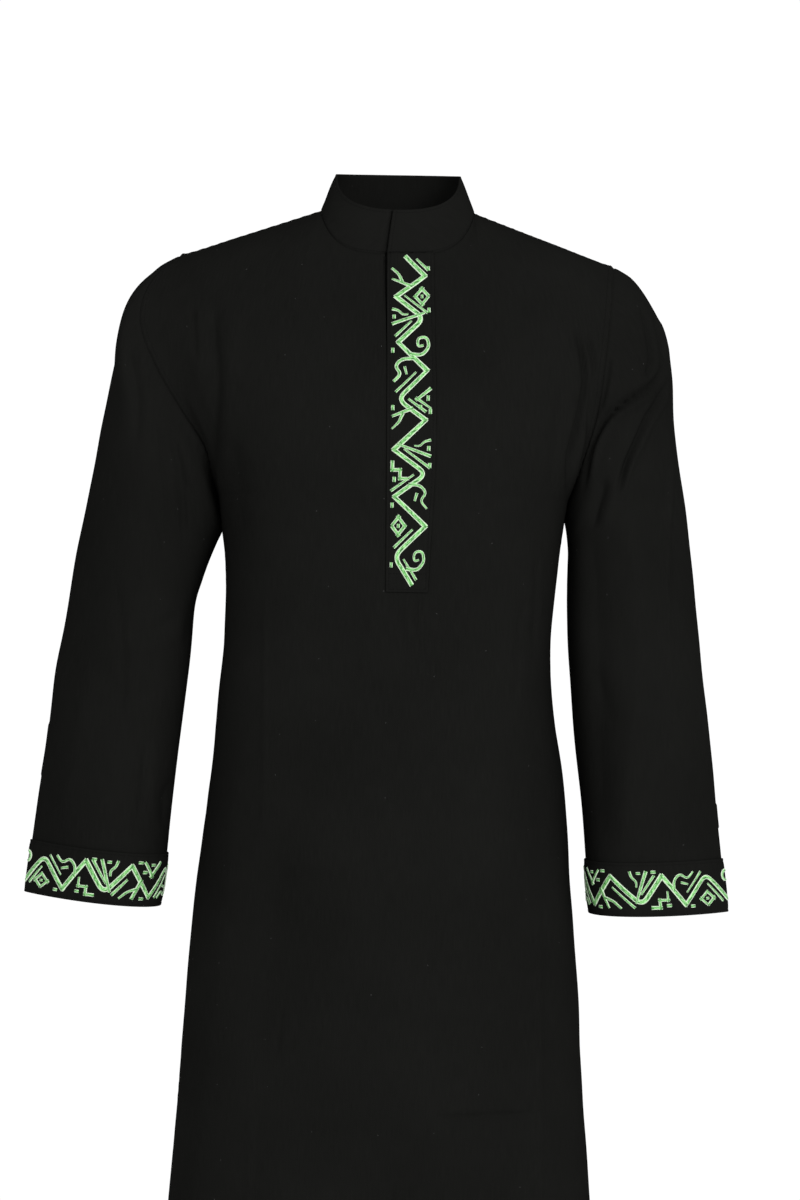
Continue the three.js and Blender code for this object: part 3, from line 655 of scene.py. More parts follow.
def lay(points, relief, **kind):
    """A grid with a relief laid into it, and its normals."""
    points = points + grid_normals(points, **kind) * relief[..., None]
    return points, grid_normals(points, **kind)


def ringed(grid):
    """A closed grid with its first column again at its end."""
    return np.concatenate([grid, grid[:, :1]], 1)


def turned(grid):
    """A grid with its rows as columns."""
    return np.swapaxes(grid, 0, 1)


def smooth_route(route):
    """A finely stepped smooth curve through a few points."""
    p = np.array(route, float)
    rows = dict(t=np.arange(len(p), dtype=float), a=p[:, 0], b=p[:, 1])
    fine = np.linspace(0, len(p) - 1, 8 * len(p))
    return np.stack([along(rows, "t", "a", fine), along(rows, "t", "b", fine)], -1)


def nearest(route, here):
    """Each point's distance off a route, more than 0 on its left, and how far along the route it is."""
    best = np.full(len(here), np.inf)
    side, share = np.zeros(len(here)), np.zeros(len(here))
    run = run_along(route)
    for a, b, start, end in zip(route, route[1:], run, run[1:]):
        ab = b - a
        t = np.clip(((here - a) @ ab) / (ab @ ab), 0, 1)
        off = here - a - t[:, None] * ab
        gap = np.linalg.norm(off, axis=1)
        closer = gap < best
        best = np.where(closer, gap, best)
        side = np.where(closer, np.sign(ab[0] * off[:, 1] - ab[1] * off[:, 0]), side)
        share = np.where(closer, (start + t * (end - start)) / run[-1], share)
    return best * side, share


def crease_relief(points, creases, weights):
    """How far the cloth stands out or in for a list of creases, at points seen from the front."""
    relief = np.zeros(points.shape[:2])
    seen = points[..., [0, 2]]
    for crease in creases:
        route = smooth_route(crease["route"])
        reach = CREASE["reach"] * crease["width"]
        near = ((seen > route.min(0) - reach) & (seen < route.max(0) + reach)).all(-1)
        off, share = nearest(route, seen[near])
        off = off / crease["width"]
        lip = crease["lip"]
        shape = np.exp(-(np.abs(off) ** CREASE["power"]))
        shape -= abs(lip) * bell(off - CREASE["lip_at"] * np.sign(lip), CREASE["lip_wide"])
        taper = smoothstep(share, *CREASE["grow"]) * (1 - smoothstep(share, *CREASE["die"]))
        relief[near] += crease["depth"] * shape * taper * weights[crease["face"]][near]
    return relief


def soft_noise(points, seed, uneven):
    """Seeded gentle unevenness, as the sum of slanting waves."""
    rng = np.random.default_rng(seed)
    shortest, longest = uneven["shortest"], uneven["longest"]
    total = np.zeros(points.shape[:2])
    for _ in range(UNEVEN_WAVES["count"]):
        wave = shortest * (longest / shortest) ** rng.random()
        turn = rng.normal(0, UNEVEN_WAVES["turn"])
        way = np.array([np.cos(turn), UNEVEN_WAVES["lean"] * rng.normal(), np.sin(turn)])
        phase = rng.random() * 2 * np.pi
        swing = np.sin(2 * np.pi * (points @ way) / wave + phase)
        total += swing * (wave / longest) ** UNEVEN_WAVES["power"]
    return uneven["depth"] * total / np.sqrt(UNEVEN_WAVES["count"] / 2)


def seam_swell(distance):
    """The cloth's rise beside a seam, which leaves the sewn edges themselves in place."""
    return SEAM["swell"] * (bell(distance, SEAM["wide"]) - bell(distance, SEAM["dip"]))


def seam_relief(distance, run):
    """The swell beside a seam and its slight pucker."""
    pucker = PUCKER["depth"] * bell(distance - PUCKER["off"], PUCKER["wide"])
    drift = PUCKER["drift"] * np.sin(run / PUCKER["drift_run"])
    return seam_swell(distance) + pucker * np.sin(2 * np.pi * run / PUCKER["pitch"] + drift)


# Meshes

materials = {}
made = {}


def make_object(name, verts, faces, uvs, material, slot_name):
    """A piece on the part's one body, with its material. Its slot_name is not used."""
    mesh = bpy.data.meshes.new(name)
    mesh.from_pydata((verts * MM).tolist(), [], faces)
    layer = mesh.uv_layers.new(name="cloth")
    index = np.zeros(len(mesh.loops), int)
    mesh.loops.foreach_get("vertex_index", index)
    layer.data.foreach_set("uv", uvs[index].ravel())
    mesh.polygons.foreach_set("use_smooth", np.ones(len(mesh.polygons), bool))
    mesh.materials.append(materials[material])
    made[name] = bpy.data.objects.new(name, mesh)
    bpy.context.scene.collection.objects.link(made[name])
    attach(made[name], "root")
    return made[name]


def shell(points, normals, thick, uv, closed=False, flip=False, cut=None, weld_rows=0):
    """A sheet with thickness and rounded edges. cut is the column after which it is slit, from the top
    down to weld_rows, below which the two sides of the slit are one."""
    rows, columns = points.shape[:2]
    ids = np.arange(rows * columns).reshape(rows, columns)
    if cut is not None:
        ids[:weld_rows, cut + 1] = ids[:weld_rows, cut]
    if closed:
        ids = ringed(ids)
    here, beyond = ids[:, :-1], ids[:, 1:]
    quads = np.stack([here[:-1], beyond[:-1], beyond[1:], here[1:]], -1)
    if cut is not None:
        quads = np.delete(quads, cut, axis=1)
    quads = quads.reshape(-1, 4)[:, :: -1 if flip else 1]
    used, quads = np.unique(quads, return_inverse=True)
    quads = quads.reshape(-1, 4)
    p, n, uv = points.reshape(-1, 3)[used], normals.reshape(-1, 3)[used], uv.reshape(-1, 2)[used]
    count = len(p)
    edges = np.concatenate([quads[:, [i, (i + 1) % 4]] for i in range(4)])
    rim = edges[~np.isin(edges[:, 0] * count + edges[:, 1], edges[:, 1] * count + edges[:, 0])]
    outward = np.zeros_like(p)
    way = unit(np.cross(p[rim[:, 1]] - p[rim[:, 0]], n[rim[:, 0]]))
    for end in (0, 1):
        np.add.at(outward, rim[:, end], way)
    edge, place = np.unique(rim, return_inverse=True)
    place = place.reshape(-1, 2)
    loops, chain = [p], [rim]
    for i, turn in enumerate((45, 90, 135)):
        sunk = thick / 2 * (1 - cosine(turn))
        loops.append(p[edge] - n[edge] * sunk + unit(outward[edge]) * thick / 2 * sine(turn))
        chain.append(place + count + i * len(edge))
    inner = count + 3 * len(edge)
    loops.append(p - n * thick)
    chain.append(rim + inner)
    faces = [quads, quads[:, ::-1] + inner]
    for first, second in zip(chain, chain[1:]):
        faces.append(np.stack([first[:, 1], first[:, 0], second[:, 0], second[:, 1]], -1))
    return np.concatenate(loops), np.concatenate(faces).tolist(), np.concatenate([uv, *[uv[edge]] * 3, uv])


def cell(marks, at):
    """The number of the grid line before each place, and how far the place is on to the next."""
    k = np.clip(np.interp(at, marks, np.arange(len(marks))), 0, len(marks) - 1.001)
    return k.astype(int), (k - k.astype(int))[..., None]


class Surface:
    """A grid that is looked up by millimetres across its columns and along its rows."""

    def __init__(self, points, normals, across, along_rows, period=None):
        self.points, self.normals = points, normals
        self.across, self.along, self.period = across, along_rows, period

    def at(self, a, b):
        if self.period:
            a = np.mod(a, self.period)
        i, up = cell(self.along, b)
        j, on = cell(self.across, a)

        def look(grid):
            low, high = (mix(grid[row, j], grid[row, j + 1], on) for row in (i, i + 1))
            return mix(low, high, up)

        return look(self.points), unit(look(self.normals))


def tube_faces(rings, sides):
    """Faces of a closed tube with a cap on each end, whose points go ring by ring."""
    faces = [tuple(range(sides)), tuple(reversed(range((rings - 1) * sides, rings * sides)))]
    for here in range(0, (rings - 1) * sides, sides):
        for t in range(sides):
            u = (t + 1) % sides
            faces.append((here + t, here + sides + t, here + sides + u, here + u))
    return faces


def stitches(lines):
    """Short thread stitches along lines, each given as its points and the cloth's normals there."""
    long, radius, sides = STITCH["long"], STITCH["radius"], STITCH["sides"]
    per = len(STITCH_SHAPE["at"]) * sides
    verts = []
    for points, normals in lines:
        run = run_along(points)
        count = max(int(run[-1] / STITCH["pitch"]), 1)
        middle = (np.arange(count) + 0.5) * run[-1] / count
        here, normal = sample(middle, run, points), unit(sample(middle, run, normals))
        ahead = sample(np.minimum(middle + STITCH["look"], run[-1]), run, points)
        way = unit(ahead - sample(np.maximum(middle - STITCH["look"], 0), run, points))
        beside = unit(np.cross(normal, way))
        ring = []
        for offset, size in zip(*STITCH_SHAPE.values()):
            centre = here + way * offset * long + normal * radius * (size - STITCH["sunk"])
            for angle in np.arange(sides) * 360 / sides:
                ring.append(centre + (normal * cosine(angle) + beside * sine(angle)) * radius * size)
        verts.append(np.stack(ring, 1).reshape(-1, 3))
    verts = np.concatenate(verts)
    one = tube_faces(per // sides, sides)
    faces = [tuple(first + i for i in face) for first in range(0, len(verts), per) for face in one]
    number = np.arange(len(verts))
    return verts, faces, np.stack([number % sides, number % per // sides], -1).astype(float)


def edge_line(points, normals, gap, from_right=False):
    """The line that runs at a steady distance inside one side edge of a grid, up its rows."""
    runs = lengths(points, 1)
    places = [run[-1] - gap if from_right else gap for run in runs]
    return [np.array([sample(*row) for row in zip(places, runs, grid)]) for grid in (points, normals)]


def join_parts(parts):
    """Several (verts, faces, uvs) as one."""
    verts, faces, uvs = [], [], []
    base = 0
    for v, f, u in parts:
        verts.append(v)
        uvs.append(u)
        faces.extend(tuple(i + base for i in face) for face in f)
        base += len(v)
    return np.concatenate(verts), faces, np.concatenate(uvs)


def ribbon(surface, path, widths, lift=0.0):
    """A satin-stitched stroke: a domed ribbon that follows a path on the surface."""
    path = np.array(path, float)
    widths = np.broadcast_to(np.asarray(widths, float), len(path))
    way = unit(np.gradient(path, axis=0))
    beside = np.stack([-way[:, 1], way[:, 0]], -1)
    across = DOME["at"]
    spots = path[:, None] + beside[:, None] * across[:, None] * widths[:, None, None] / 2
    points, normals = surface.at(spots[..., 0], spots[..., 1])
    tall = np.minimum(STROKE_HEIGHT, STEEPEST * widths)
    verts = points + normals * (DOME["rise"] * tall[:, None] - STROKE_SUNK + lift)[..., None]
    faces = tube_faces(len(path), len(across))
    facing = np.cross(verts[0, 4] - verts[0, 2], verts[1, 3] - verts[0, 3])
    if facing @ normals[0, 3] > 0:
        faces = [face[::-1] for face in faces]
    uvs = np.stack(np.broadcast_arrays(across * STROKE / 2, run_along(path)[:, None]), -1)
    return verts.reshape(-1, 3), faces, uvs.reshape(-1, 2)


def rounded(corners, radius):
    """A path through corners that are cut back by up to a radius and joined by a smooth bend."""
    path = [corners[0]]
    for corner, *ends in zip(corners[1:], corners, corners[2:]):
        legs = [end - corner for end in ends]
        start, end = [corner + leg * min(radius / np.linalg.norm(leg), 0.5) for leg in legs]
        path += [mix(mix(start, corner, t), mix(corner, end, t), t) for t in np.linspace(0, 1, FINE["bend"])]
    path = np.array([*path, corners[-1]])
    run = run_along(path)
    return sample(np.linspace(0, run[-1], max(int(run[-1] / CURVE_PITCH), 4) + 1), run, path)


def stroke(surface, corners, wide, end_wide, lift=0.0, radius=0.0):
    """A line of satin stitch: one curve if it has a radius, or else straight columns whose ends
    overlap at each corner."""
    corners = np.array(corners, float)
    if radius and len(corners) > 2:
        path = rounded(corners, radius)
        return [ribbon(surface, path, np.linspace(wide, end_wide, len(path)), lift)]
    legs = np.diff(corners, axis=0)
    long = np.linalg.norm(legs, axis=1)
    way = unit(legs)
    run = run_along(corners)
    turn = np.arccos(np.clip((way[:-1] * way[1:]).sum(1), -1, 1))
    lap = np.concatenate([[0], np.minimum(wide / 2 * np.tan(turn / 2), LAP["most"] * wide), [0]])
    parts = []
    for i, (start, ahead) in enumerate(zip(corners, way)):
        places = np.linspace(-lap[i], long[i] + lap[i + 1], max(int(long[i] / LEG_PITCH), 2) + 1)
        widths = mix(wide, end_wide, np.clip((run[i] + places) / run[-1], 0, 1))
        parts.append(ribbon(surface, start + places[:, None] * ahead, widths, lift + LAP["lift"] * (i % 2)))
    return parts


# Body


def row_places():
    """Drops of the skirt's rows from the hem up, and armhole angles of the rows above the underarm."""
    low = steps(LENGTH - PLACKET["bottom"], SKIRT_PITCH)
    high = steps(PLACKET["bottom"] - UNDERARM["drop"], YOKE_PITCH)
    drops = np.concatenate([LENGTH - low, PLACKET["bottom"] - high[1:-1]])
    close = PRESSED["drop"] + np.arange(-PRESSED["reach"], PRESSED["reach"] + 1, PRESSED["pitch"])
    drops = drops[(drops < close[0] - 1) | (drops > close[-1] + 1)]
    drops = np.sort(np.concatenate([drops, close]))[::-1]
    dense = np.linspace(180, 0, FINE["yoke"])
    q = np.linspace(0.1, 2.9, FINE["columns"])
    q = np.broadcast_to(q, (len(dense), len(q))).copy()
    run = lengths(panel_points(q, np.zeros(0), dense, "front"), 0).mean(1)
    return drops, np.interp(steps(run[-1], YOKE_PITCH, False, True), run, dense)


ROW_DROPS, ROW_ANGLES = row_places()
UNDERARM_ROW = len(ROW_DROPS)
PLACKET_ROW = int(np.argmin(np.abs(ROW_DROPS - PLACKET["bottom"])))


def panel_grid(face, breaks):
    """Points of a panel, stepped along every row, with whole columns at the breaks, and those columns."""

    def points_at(q):
        return panel_points(q, ROW_DROPS, ROW_ANGLES, face)

    stretches = []
    for low, high in zip(breaks, breaks[1:]):
        row_count = len(ROW_DROPS) + len(ROW_ANGLES)
        part = spread_rows(points_at, (low, high), row_count, COLUMN_PITCH, low == 0, high == 3)
        stretches.append(part if low == 0 else part[:, 1:])
    return points_at(np.concatenate(stretches, 1)), np.cumsum([s.shape[1] for s in stretches]) - 1


def worn_panel(points, face, creases, give=1.0):
    """Lays creases, soft unevenness and seams into a panel, and gives its points and normals."""
    across, up = lengths(points, 1), lengths(points, 0)
    side_gap, top_gap = np.minimum(across, across[:, -1:] - across), up[-1:] - up
    fade = smoothstep(side_gap, *PANEL_FADE["side"]) * smoothstep(top_gap, *PANEL_FADE["top"])
    relief = crease_relief(points, creases, {"front": np.ones(points.shape[:2])})
    relief = fade * (relief + soft_noise(points, SEEDS[face], UNEVEN) * give)
    armhole = np.arange(len(points))[:, None] >= UNDERARM_ROW
    relief += seam_relief(side_gap, up) * np.where(armhole, SEAM_SHARE["armhole"], SEAM_SHARE["side"])
    relief += seam_relief(top_gap, across) * SEAM_SHARE["top"]
    band = bell(side_gap - TOPSTITCH["off"] / 2, TOPSTITCH["wide"])
    band -= TOPSTITCH["sunk"] * bell(side_gap - TOPSTITCH["off"], TOPSTITCH["line"])
    relief += TOPSTITCH["swell"] * band * armhole - HEM["sunk"] * bell(HEM["off"] - up, HEM["line"])
    return lay(points, relief, flip=face == "back")


def cloth_uv(points):
    """Cloth coordinates in millimetres, from the middle of each row and from the first row."""
    across = lengths(points, 1)
    middle = across[:, points.shape[1] // 2][:, None]
    return np.stack([across - middle, lengths(points, 0)], -1)


def slit_front(points, normals, column):
    """The front's grid with the slit's column doubled, and its left side drawn back a little."""
    drops = -front_plain[:, column, 2]
    slit_rows = int(np.argmin(np.abs(drops - SLIT["end"]))) + 1
    order = np.insert(np.arange(points.shape[1]), column, column)
    points, normals = points[:, order].copy(), normals[:, order]
    open_share = 1 - smoothstep(drops[slit_rows:], SLIT["from_drop"], SLIT["to_drop"])
    points[slit_rows:, column, 0] -= mix(SLIT["low"], SLIT["high"], open_share)
    return points, normals, slit_rows


# Sleeves


def sleeve_grid(side):
    """Points of a sleeve and the row at which its hem band begins."""
    around = np.linspace(0, 360, SLEEVE_COLUMNS, endpoint=False)
    last = len(side["sleeve"]["outer"]) - 1
    dense = np.linspace(0, last, FINE["sleeve"])
    run = lengths(sleeve_points(side, dense[:, None], around[None, ::8]), 0).mean(1)
    band_top = float(np.interp(last - BAND_ROWS, dense, run))
    places = steps(band_top, SLEEVE_PITCH, True)
    below = steps(run[-1] - band_top, SLEEVE_PITCH)[1:] + band_top
    k = np.interp(np.concatenate([places, below]), run, dense)
    points = sleeve_points(side, k[:, None], around[None, :])
    front = np.maximum(sine(around), 0)
    fuller = np.where(cosine(around) < 0, front ** UNDERARM_FILL["square"] - front, 0)
    near = smoothstep(k, *UNDERARM_FILL["from_row"]) * (1 - smoothstep(k, *UNDERARM_FILL["to_row"]))
    points[..., 1] -= UNDERARM_FILL["depth"] * near[:, None] * fuller
    return points, len(places) - 1


def worn_sleeve(points, name, kind):
    """Lays creases, soft unevenness and the armhole's seam into a sleeve."""
    depth_way = grid_normals(points, **kind)[..., 1]
    down = lengths(points, 0)
    near_hem = mix(SLEEVE_FADE["least"], 1, smoothstep(down[-1:] - down, *SLEEVE_FADE["hem"]))
    fade = smoothstep(down, *SLEEVE_FADE["cap"]) * near_hem
    weights = {
        face: smoothstep(depth_way * FACES[face]["sign"], *SLEEVE_FADE["facing"]) for face in FACES
    }
    relief = crease_relief(points, SLEEVE_CREASES[name], weights)
    relief = fade * (relief + soft_noise(points, SEEDS[name], UNEVEN))
    return lay(points, relief + seam_relief(down, lengths(ringed(points), 1)[:, :-1]), **kind)


# Collar


def collar_grid():
    """The collar from its upper end at the slit, round the back, to its under end beneath."""
    lap_x = np.linspace(LIP, PLACKET["left"] + COLLAR_UNDERLAP, FINE["lap"])[1:]
    round_back = np.linspace(neck_angle_at(PLACKET["left"]), 360, FINE["neck_back"])
    round_left = np.linspace(0, neck_angle_at(LIP), FINE["neck_left"])[1:]
    angle = np.concatenate([round_back, round_left, neck_angle_at(lap_x)])
    under = COLLAR_CLOTH + 2 * LAYER_GAP + COLLAR_STEP
    inset = np.zeros(len(angle))
    inset[-len(lap_x) :] = under * smoothstep(lap_x, LIP, PLACKET["left"] - 1)
    foot, top = neck_point(angle)[None], collar_top_point(angle)[None]
    height = np.sort(np.concatenate([steps(1, 1 / COLLAR_ROWS), COLLAR_CLOSE_ROWS]))[:, None, None]
    outward = unit(foot * np.array([1.0, 1.0, 0.0]))
    points = mix(foot, top, height) + outward * (COLLAR_BOW * np.sin(np.pi * height) - inset[:, None])
    run = lengths(points, 1).mean(0)
    wanted = np.interp(steps(run[-1], COLLAR_PITCH, True, True), run, np.arange(len(run)))
    low = np.clip(wanted.astype(int), 0, len(run) - 2)
    return mix(points[:, low], points[:, low + 1], (wanted - low)[None, :, None])


def worn_collar(points):
    """Lays soft unevenness, the neck seam and the stitched lines into the collar."""
    up, across = lengths(points, 0), lengths(points, 1)
    end_gap = np.minimum(across, across[:, -1:] - across)
    relief = soft_noise(points, SEEDS["collar"], COLLAR_UNEVEN) * smoothstep(up, *COLLAR_FADE)
    relief += seam_swell(up)
    off, line = COLLAR_STITCH["off"], COLLAR_STITCH["line"]
    relief -= COLLAR_STITCH["top_sunk"] * bell(up[-1:] - up - off, line)
    relief -= COLLAR_STITCH["end_sunk"] * bell(end_gap - off, line)
    return lay(points, relief)


# Strips that lie on another piece


def strip(surface, across, along_rows, out, closed=False):
    """A strip made from a surface's points moved out, pressed in along its stitched edges: points,
    normals and cloth coordinates. A closed one has no side edges, and the others none at the top."""
    a, b = np.meshgrid(across, along_rows)
    points, normals = surface.at(a, b)
    other = along_rows[-1] - b if closed else np.minimum(a - across[0], across[-1] - a)
    gap = np.minimum(b - along_rows[0], other)
    relief = STRIP["swell"] * smoothstep(gap, 0, STRIP["swell_over"])
    relief -= STRIP["sunk"] * bell(gap - STRIP["off"], STRIP["line"])
    return points + normals * (out + relief)[..., None], normals, np.stack([a, b], -1)


# Embroidery


class Band:
    """A surface measured from a line along the middle of a band: off the line, then along it."""

    def __init__(self, surface, middle, turned_round):
        self.surface, self.middle, self.turned_round = surface, middle, turned_round

    def at(self, off, on):
        if self.turned_round:
            return self.surface.at(on, self.middle + off)
        return self.surface.at(self.middle + off, on)


def bends(start, length, count, closed, rng):
    """Corners of the bold line, from side to side, unevenly apart, as off the middle and along it."""
    apart = rng.uniform(*BEND_APART, count)
    along_line = start + np.concatenate([[0], np.cumsum(apart)[:-1]]) / apart.sum() * length
    reach = rng.uniform(*BEND_REACH, count)
    if not closed:
        along_line *= length / (along_line[-1] - start)
        along_line += start - along_line[0]
        reach[[0, -1]] = END_REACH
    return [np.array([(-1) ** i * reach[i], along_line[i]]) for i in range(count)]


def tick(band, off, on, wide, long):
    """A small filled rectangle."""
    return ribbon(band, [(off, on - long / 2), (off, on), (off, on + long / 2)], wide)


def bend_shape(band, corner, kind, way, rng):
    """The smaller shape that lies opposite a corner. way turns every other one the other way up."""
    side = np.sign(corner[0])
    parts = []

    def place(inward, onward):
        return -side * (BAND_EDGE - inward), corner[1] + way * onward

    for wide, radius, *points in SHAPES[kind]["strokes"]:
        size = wide * rng.uniform(*SHAPE_WIDTH["first"])
        end_size = size * rng.uniform(*SHAPE_WIDTH["last"])
        parts += stroke(band, [place(*p) for p in points], size, end_size, CROSSING_LIFT, radius)
    for inward, onward, wide, long in SHAPES[kind]["ticks"]:
        wide *= rng.uniform(*TICK_SIZE)
        parts.append(tick(band, *place(inward, onward), wide, long * rng.uniform(*TICK_SIZE)))
    return parts


def bold_line(band, corners, rng):
    """The line through the corners, in stretches that end at its sharp bends."""
    parts = []
    stretch = [corners[0]]
    for i, corner in enumerate(corners[1:], 1):
        stretch.append(corner)
        if i == len(corners) - 1 or i % 3 != 1:
            way, back = unit(stretch[-1] - stretch[-2]), unit(stretch[0] - stretch[1])
            ends = [stretch[0] + back * STROKE / 4, *stretch[1:-1], corner + way * STROKE / 4]
            wide, end_wide = (STROKE * rng.uniform(*BOLD_WIDTH[end]) for end in ("first", "last"))
            parts += stroke(band, ends, wide, end_wide, LAP["lift"] * (i % 2), ROUND_BEND)
            stretch = [corner]
    return parts


def embroider(name, band, corners, closed, rng):
    """The whole pattern. Where it is closed, the line ends at its own start, one turn on."""
    parts = bold_line(band, corners, rng)
    for i, (a, b) in enumerate(zip(corners, corners[1:])):
        if i % 3 == 2:
            continue
        way = unit(b - a)
        beside = np.array([-way[1], way[0]]) * (TWIN["off"] if i % 2 else -TWIN["off"])
        first, last = rng.uniform(*TWIN["first"]), rng.uniform(*TWIN["last"])
        wide = rng.uniform(*TWIN["wide"])
        ends = [mix(a, b, first) + beside, mix(a, b, last) + beside]
        parts += stroke(band, ends, wide, wide * TWIN["narrowing"], TWIN["lift"])
    for i, corner in enumerate(corners[:-1] if closed else corners[1:-1]):
        parts += bend_shape(band, corner, SHAPE_ORDER[i % len(SHAPE_ORDER)], 1 if i % 4 < 2 else -1, rng)
        if i % 3 != 1:
            off = np.sign(corner[0]) * (BAND_EDGE - TICK["wide"] / 2)
            on = corner[1] + (TICK["onward"] if i % 2 else -TICK["onward"])
            parts.append(tick(band, off, on, TICK["wide"], TICK["long"]))
    make_object(name, *join_parts(parts), "green_rayon", "green_thread")


# Materials


def add(tree, kind, inputs=None, **settings):
    node = tree.nodes.new(kind)
    for key, value in settings.items():
        setattr(node, key, value)
    for key, value in (inputs or {}).items():
        if isinstance(value, bpy.types.NodeSocket):
            tree.links.new(value, node.inputs[key])
        else:
            node.inputs[key].default_value = value
    return node


def calc(tree, operation, *inputs):
    """What a Math node makes of its inputs."""
    return add(tree, "ShaderNodeMath", dict(enumerate(inputs)), operation=operation).outputs[0]


def noise(tree, vector, scale, detail, roughness=0.5, stretch=(1, 1, 1)):
    """Soft noise, drawn out along the axes where the stretch is less than 1."""
    vector = add(tree, "ShaderNodeMapping", {"Vector": vector, "Scale": stretch}).outputs["Vector"]
    values = {"Vector": vector, "Scale": scale, "Detail": detail, "Roughness": roughness}
    return add(tree, "ShaderNodeTexNoise", values).outputs["Fac"]


def bands(tree, vector, way, scale, distortion, detail):
    """Even stripes, as threads lie."""
    values = {"Vector": vector, "Scale": scale, "Distortion": distortion, "Detail": detail}
    settings = dict(wave_type="BANDS", bands_direction=way)
    return add(tree, "ShaderNodeTexWave", values, **settings).outputs["Fac"]


def ramp(tree, fac, stops):
    node = add(tree, "ShaderNodeValToRGB", {"Fac": fac})
    for i, (at, colour) in enumerate(stops):
        stop = node.color_ramp.elements[i] if i < 2 else node.color_ramp.elements.new(at)
        stop.position = at
        stop.color = (*colour, 1)
    return node.outputs["Color"]


def bump(tree, height, strength, distance, **below):
    values = {"Height": height, "Strength": strength, "Distance": distance, **below}
    return add(tree, "ShaderNodeBump", values).outputs[0]


def new_material(name, **values):
    """A material's node tree, its cloth coordinates, and a function that joins its colour and bump."""
    material = materials[name] = bpy.data.materials.new(name)
    material.use_nodes = True
    tree = material.node_tree
    tree.nodes.clear()
    shader = add(tree, "ShaderNodeBsdfPrincipled", {k.replace("_", " "): v for k, v in values.items()})
    add(tree, "ShaderNodeOutputMaterial", {"Surface": shader.outputs["BSDF"]})
    uv = add(tree, "ShaderNodeUVMap", uv_map="cloth").outputs["UV"]

    def join(factor, a, b, normal):
        """Mixes the colours a and b by a factor, and joins them and the bump to the shader."""
        mixed = add(tree, "ShaderNodeMix", {"Factor": factor, "A": a, "B": (*b, 1)}, data_type="RGBA")
        result = [socket for socket in mixed.outputs if socket.enabled][0]
        tree.links.new(result, shader.inputs["Base Color"])
        tree.links.new(normal, shader.inputs["Normal"])

    return tree, uv, join


def cloth_material(name, shade, roughness):
    """Matt black suiting: a fine twill weave, uneven dye and a few pale specks of lint."""
    tree, uv, join = new_material(name, Roughness=roughness, Specular_IOR_Level=0.0)
    place = add(tree, "ShaderNodeTexCoord").outputs["Object"]
    dye = noise(tree, place, scale=7.0, detail=3.0)
    slub = noise(tree, uv, scale=1.0, detail=4.0, stretch=(0.9, 0.05, 1.0))
    dark, light = (tuple(c * share for c in shade) for share in DYE_RANGE)
    tone = calc(tree, "MULTIPLY", calc(tree, "ADD", dye, slub), 0.5)
    body = ramp(tree, tone, [(0.3, dark), (0.7, light)])
    spots = {"Vector": uv, "Scale": 1 / LINT["apart"]}
    spots = add(tree, "ShaderNodeTexVoronoi", spots, voronoi_dimensions="2D").outputs
    near = calc(tree, "LESS_THAN", spots["Distance"], LINT["size"] / LINT["apart"])
    chance = add(tree, "ShaderNodeSeparateColor", {"Color": spots["Color"]}).outputs["Red"]
    speck = calc(tree, "MULTIPLY", near, calc(tree, "GREATER_THAN", chance, LINT["rarity"]))
    weave = [bands(tree, uv, way, THREADS, distortion=0.6, detail=1.0) for way in ("DIAGONAL", "Y")]
    fine = bump(tree, calc(tree, "MULTIPLY", *weave), strength=0.35, distance=0.0001)
    fuzz = noise(tree, uv, scale=0.8, detail=5.0, roughness=0.65)
    soft = bump(tree, fuzz, strength=0.3, distance=0.0006, Normal=fine)
    join(speck, body, LINT["colour"], soft)


def thread_material(name, stops, edge_highlight_colour, **values):
    """Lustrous thread: fine strands across each stroke, with lighter and darker passages along it, and a
    painted highlight along its two edges.
    """
    tree, uv, join = new_material(name, Coat_Roughness=0.3, **values)
    passage = noise(tree, uv, scale=1.6, detail=2.0, stretch=(0.35, 0.13, 1.0))
    strand = noise(tree, uv, scale=1.3, detail=3.0, stretch=(0.25, 2.2, 1.0))
    strand = calc(tree, "MULTIPLY", strand, STRAND_SHARE)
    body = ramp(tree, calc(tree, "MULTIPLY_ADD", passage, 1 - STRAND_SHARE, strand), stops)
    across = add(tree, "ShaderNodeSeparateXYZ", {"Vector": uv}).outputs["X"]
    # Near each stroke's two edges the colour is mixed towards the edge colour: a painted highlight on the
    # satin's domed sides.
    edge = {"Value": calc(tree, "ABSOLUTE", across), "From Min": 1.3, "From Max": 1.8, "To Max": 0.9}
    edge = add(tree, "ShaderNodeMapRange", edge).outputs[0]
    twist = bands(tree, uv, "Y", scale=0.62, distortion=0.8, detail=2.0)
    join(edge, body, edge_highlight_colour, bump(tree, twist, strength=0.6, distance=0.0002))


cloth_material("black_suiting", (0.0089, 0.0090, 0.0083), 0.9)
# The faced suiting is the same black cloth made slightly lighter: painted light on the collar, cuff bands and
# placket.
cloth_material("faced_suiting", (0.0091, 0.0092, 0.0085), 0.88)
thread_material(
    "green_rayon",
    [(0.42, (0.012, 0.10, 0.01)), (0.49, (0.13, 0.52, 0.10)), (0.57, (0.46, 0.98, 0.38))],
    # The near-white painted highlight on the strokes' edges.
    (0.84, 1.0, 0.76),
    Roughness=0.42,
    Specular_IOR_Level=0.5,
    Sheen_Weight=0.2,
    Coat_Weight=0.15,
)
thread_material(
    "black_thread",
    [(0.3, (0.005, 0.005, 0.005)), (0.7, (0.011, 0.011, 0.0105))],
    # The black thread's painted edge highlight, close to its own tone.
    (0.009, 0.009, 0.009),
    Roughness=0.8,
    Specular_IOR_Level=0.03,
)

# The pieces

CLOTHS = {
    "plain": (CLOTH, "black_suiting", "plain_cloth"),
    "faced": (BAND_CLOTH, "faced_suiting", "faced_cloth"),
    "collar": (COLLAR_CLOTH, "faced_suiting", "faced_cloth"),
}


def cloth_piece(name, node, kind, points, normals, uv, **made_as):
    """A cloth shell in the place of one of the part's nodes."""
    thick, material, slot_name = CLOTHS[kind]
    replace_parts(make_object(name, *shell(points, normals, thick, uv, **made_as), material, slot_name), node)


def stitch_piece(name, lines):
    make_object(name, *stitches(lines), "black_thread", "plain_cloth")


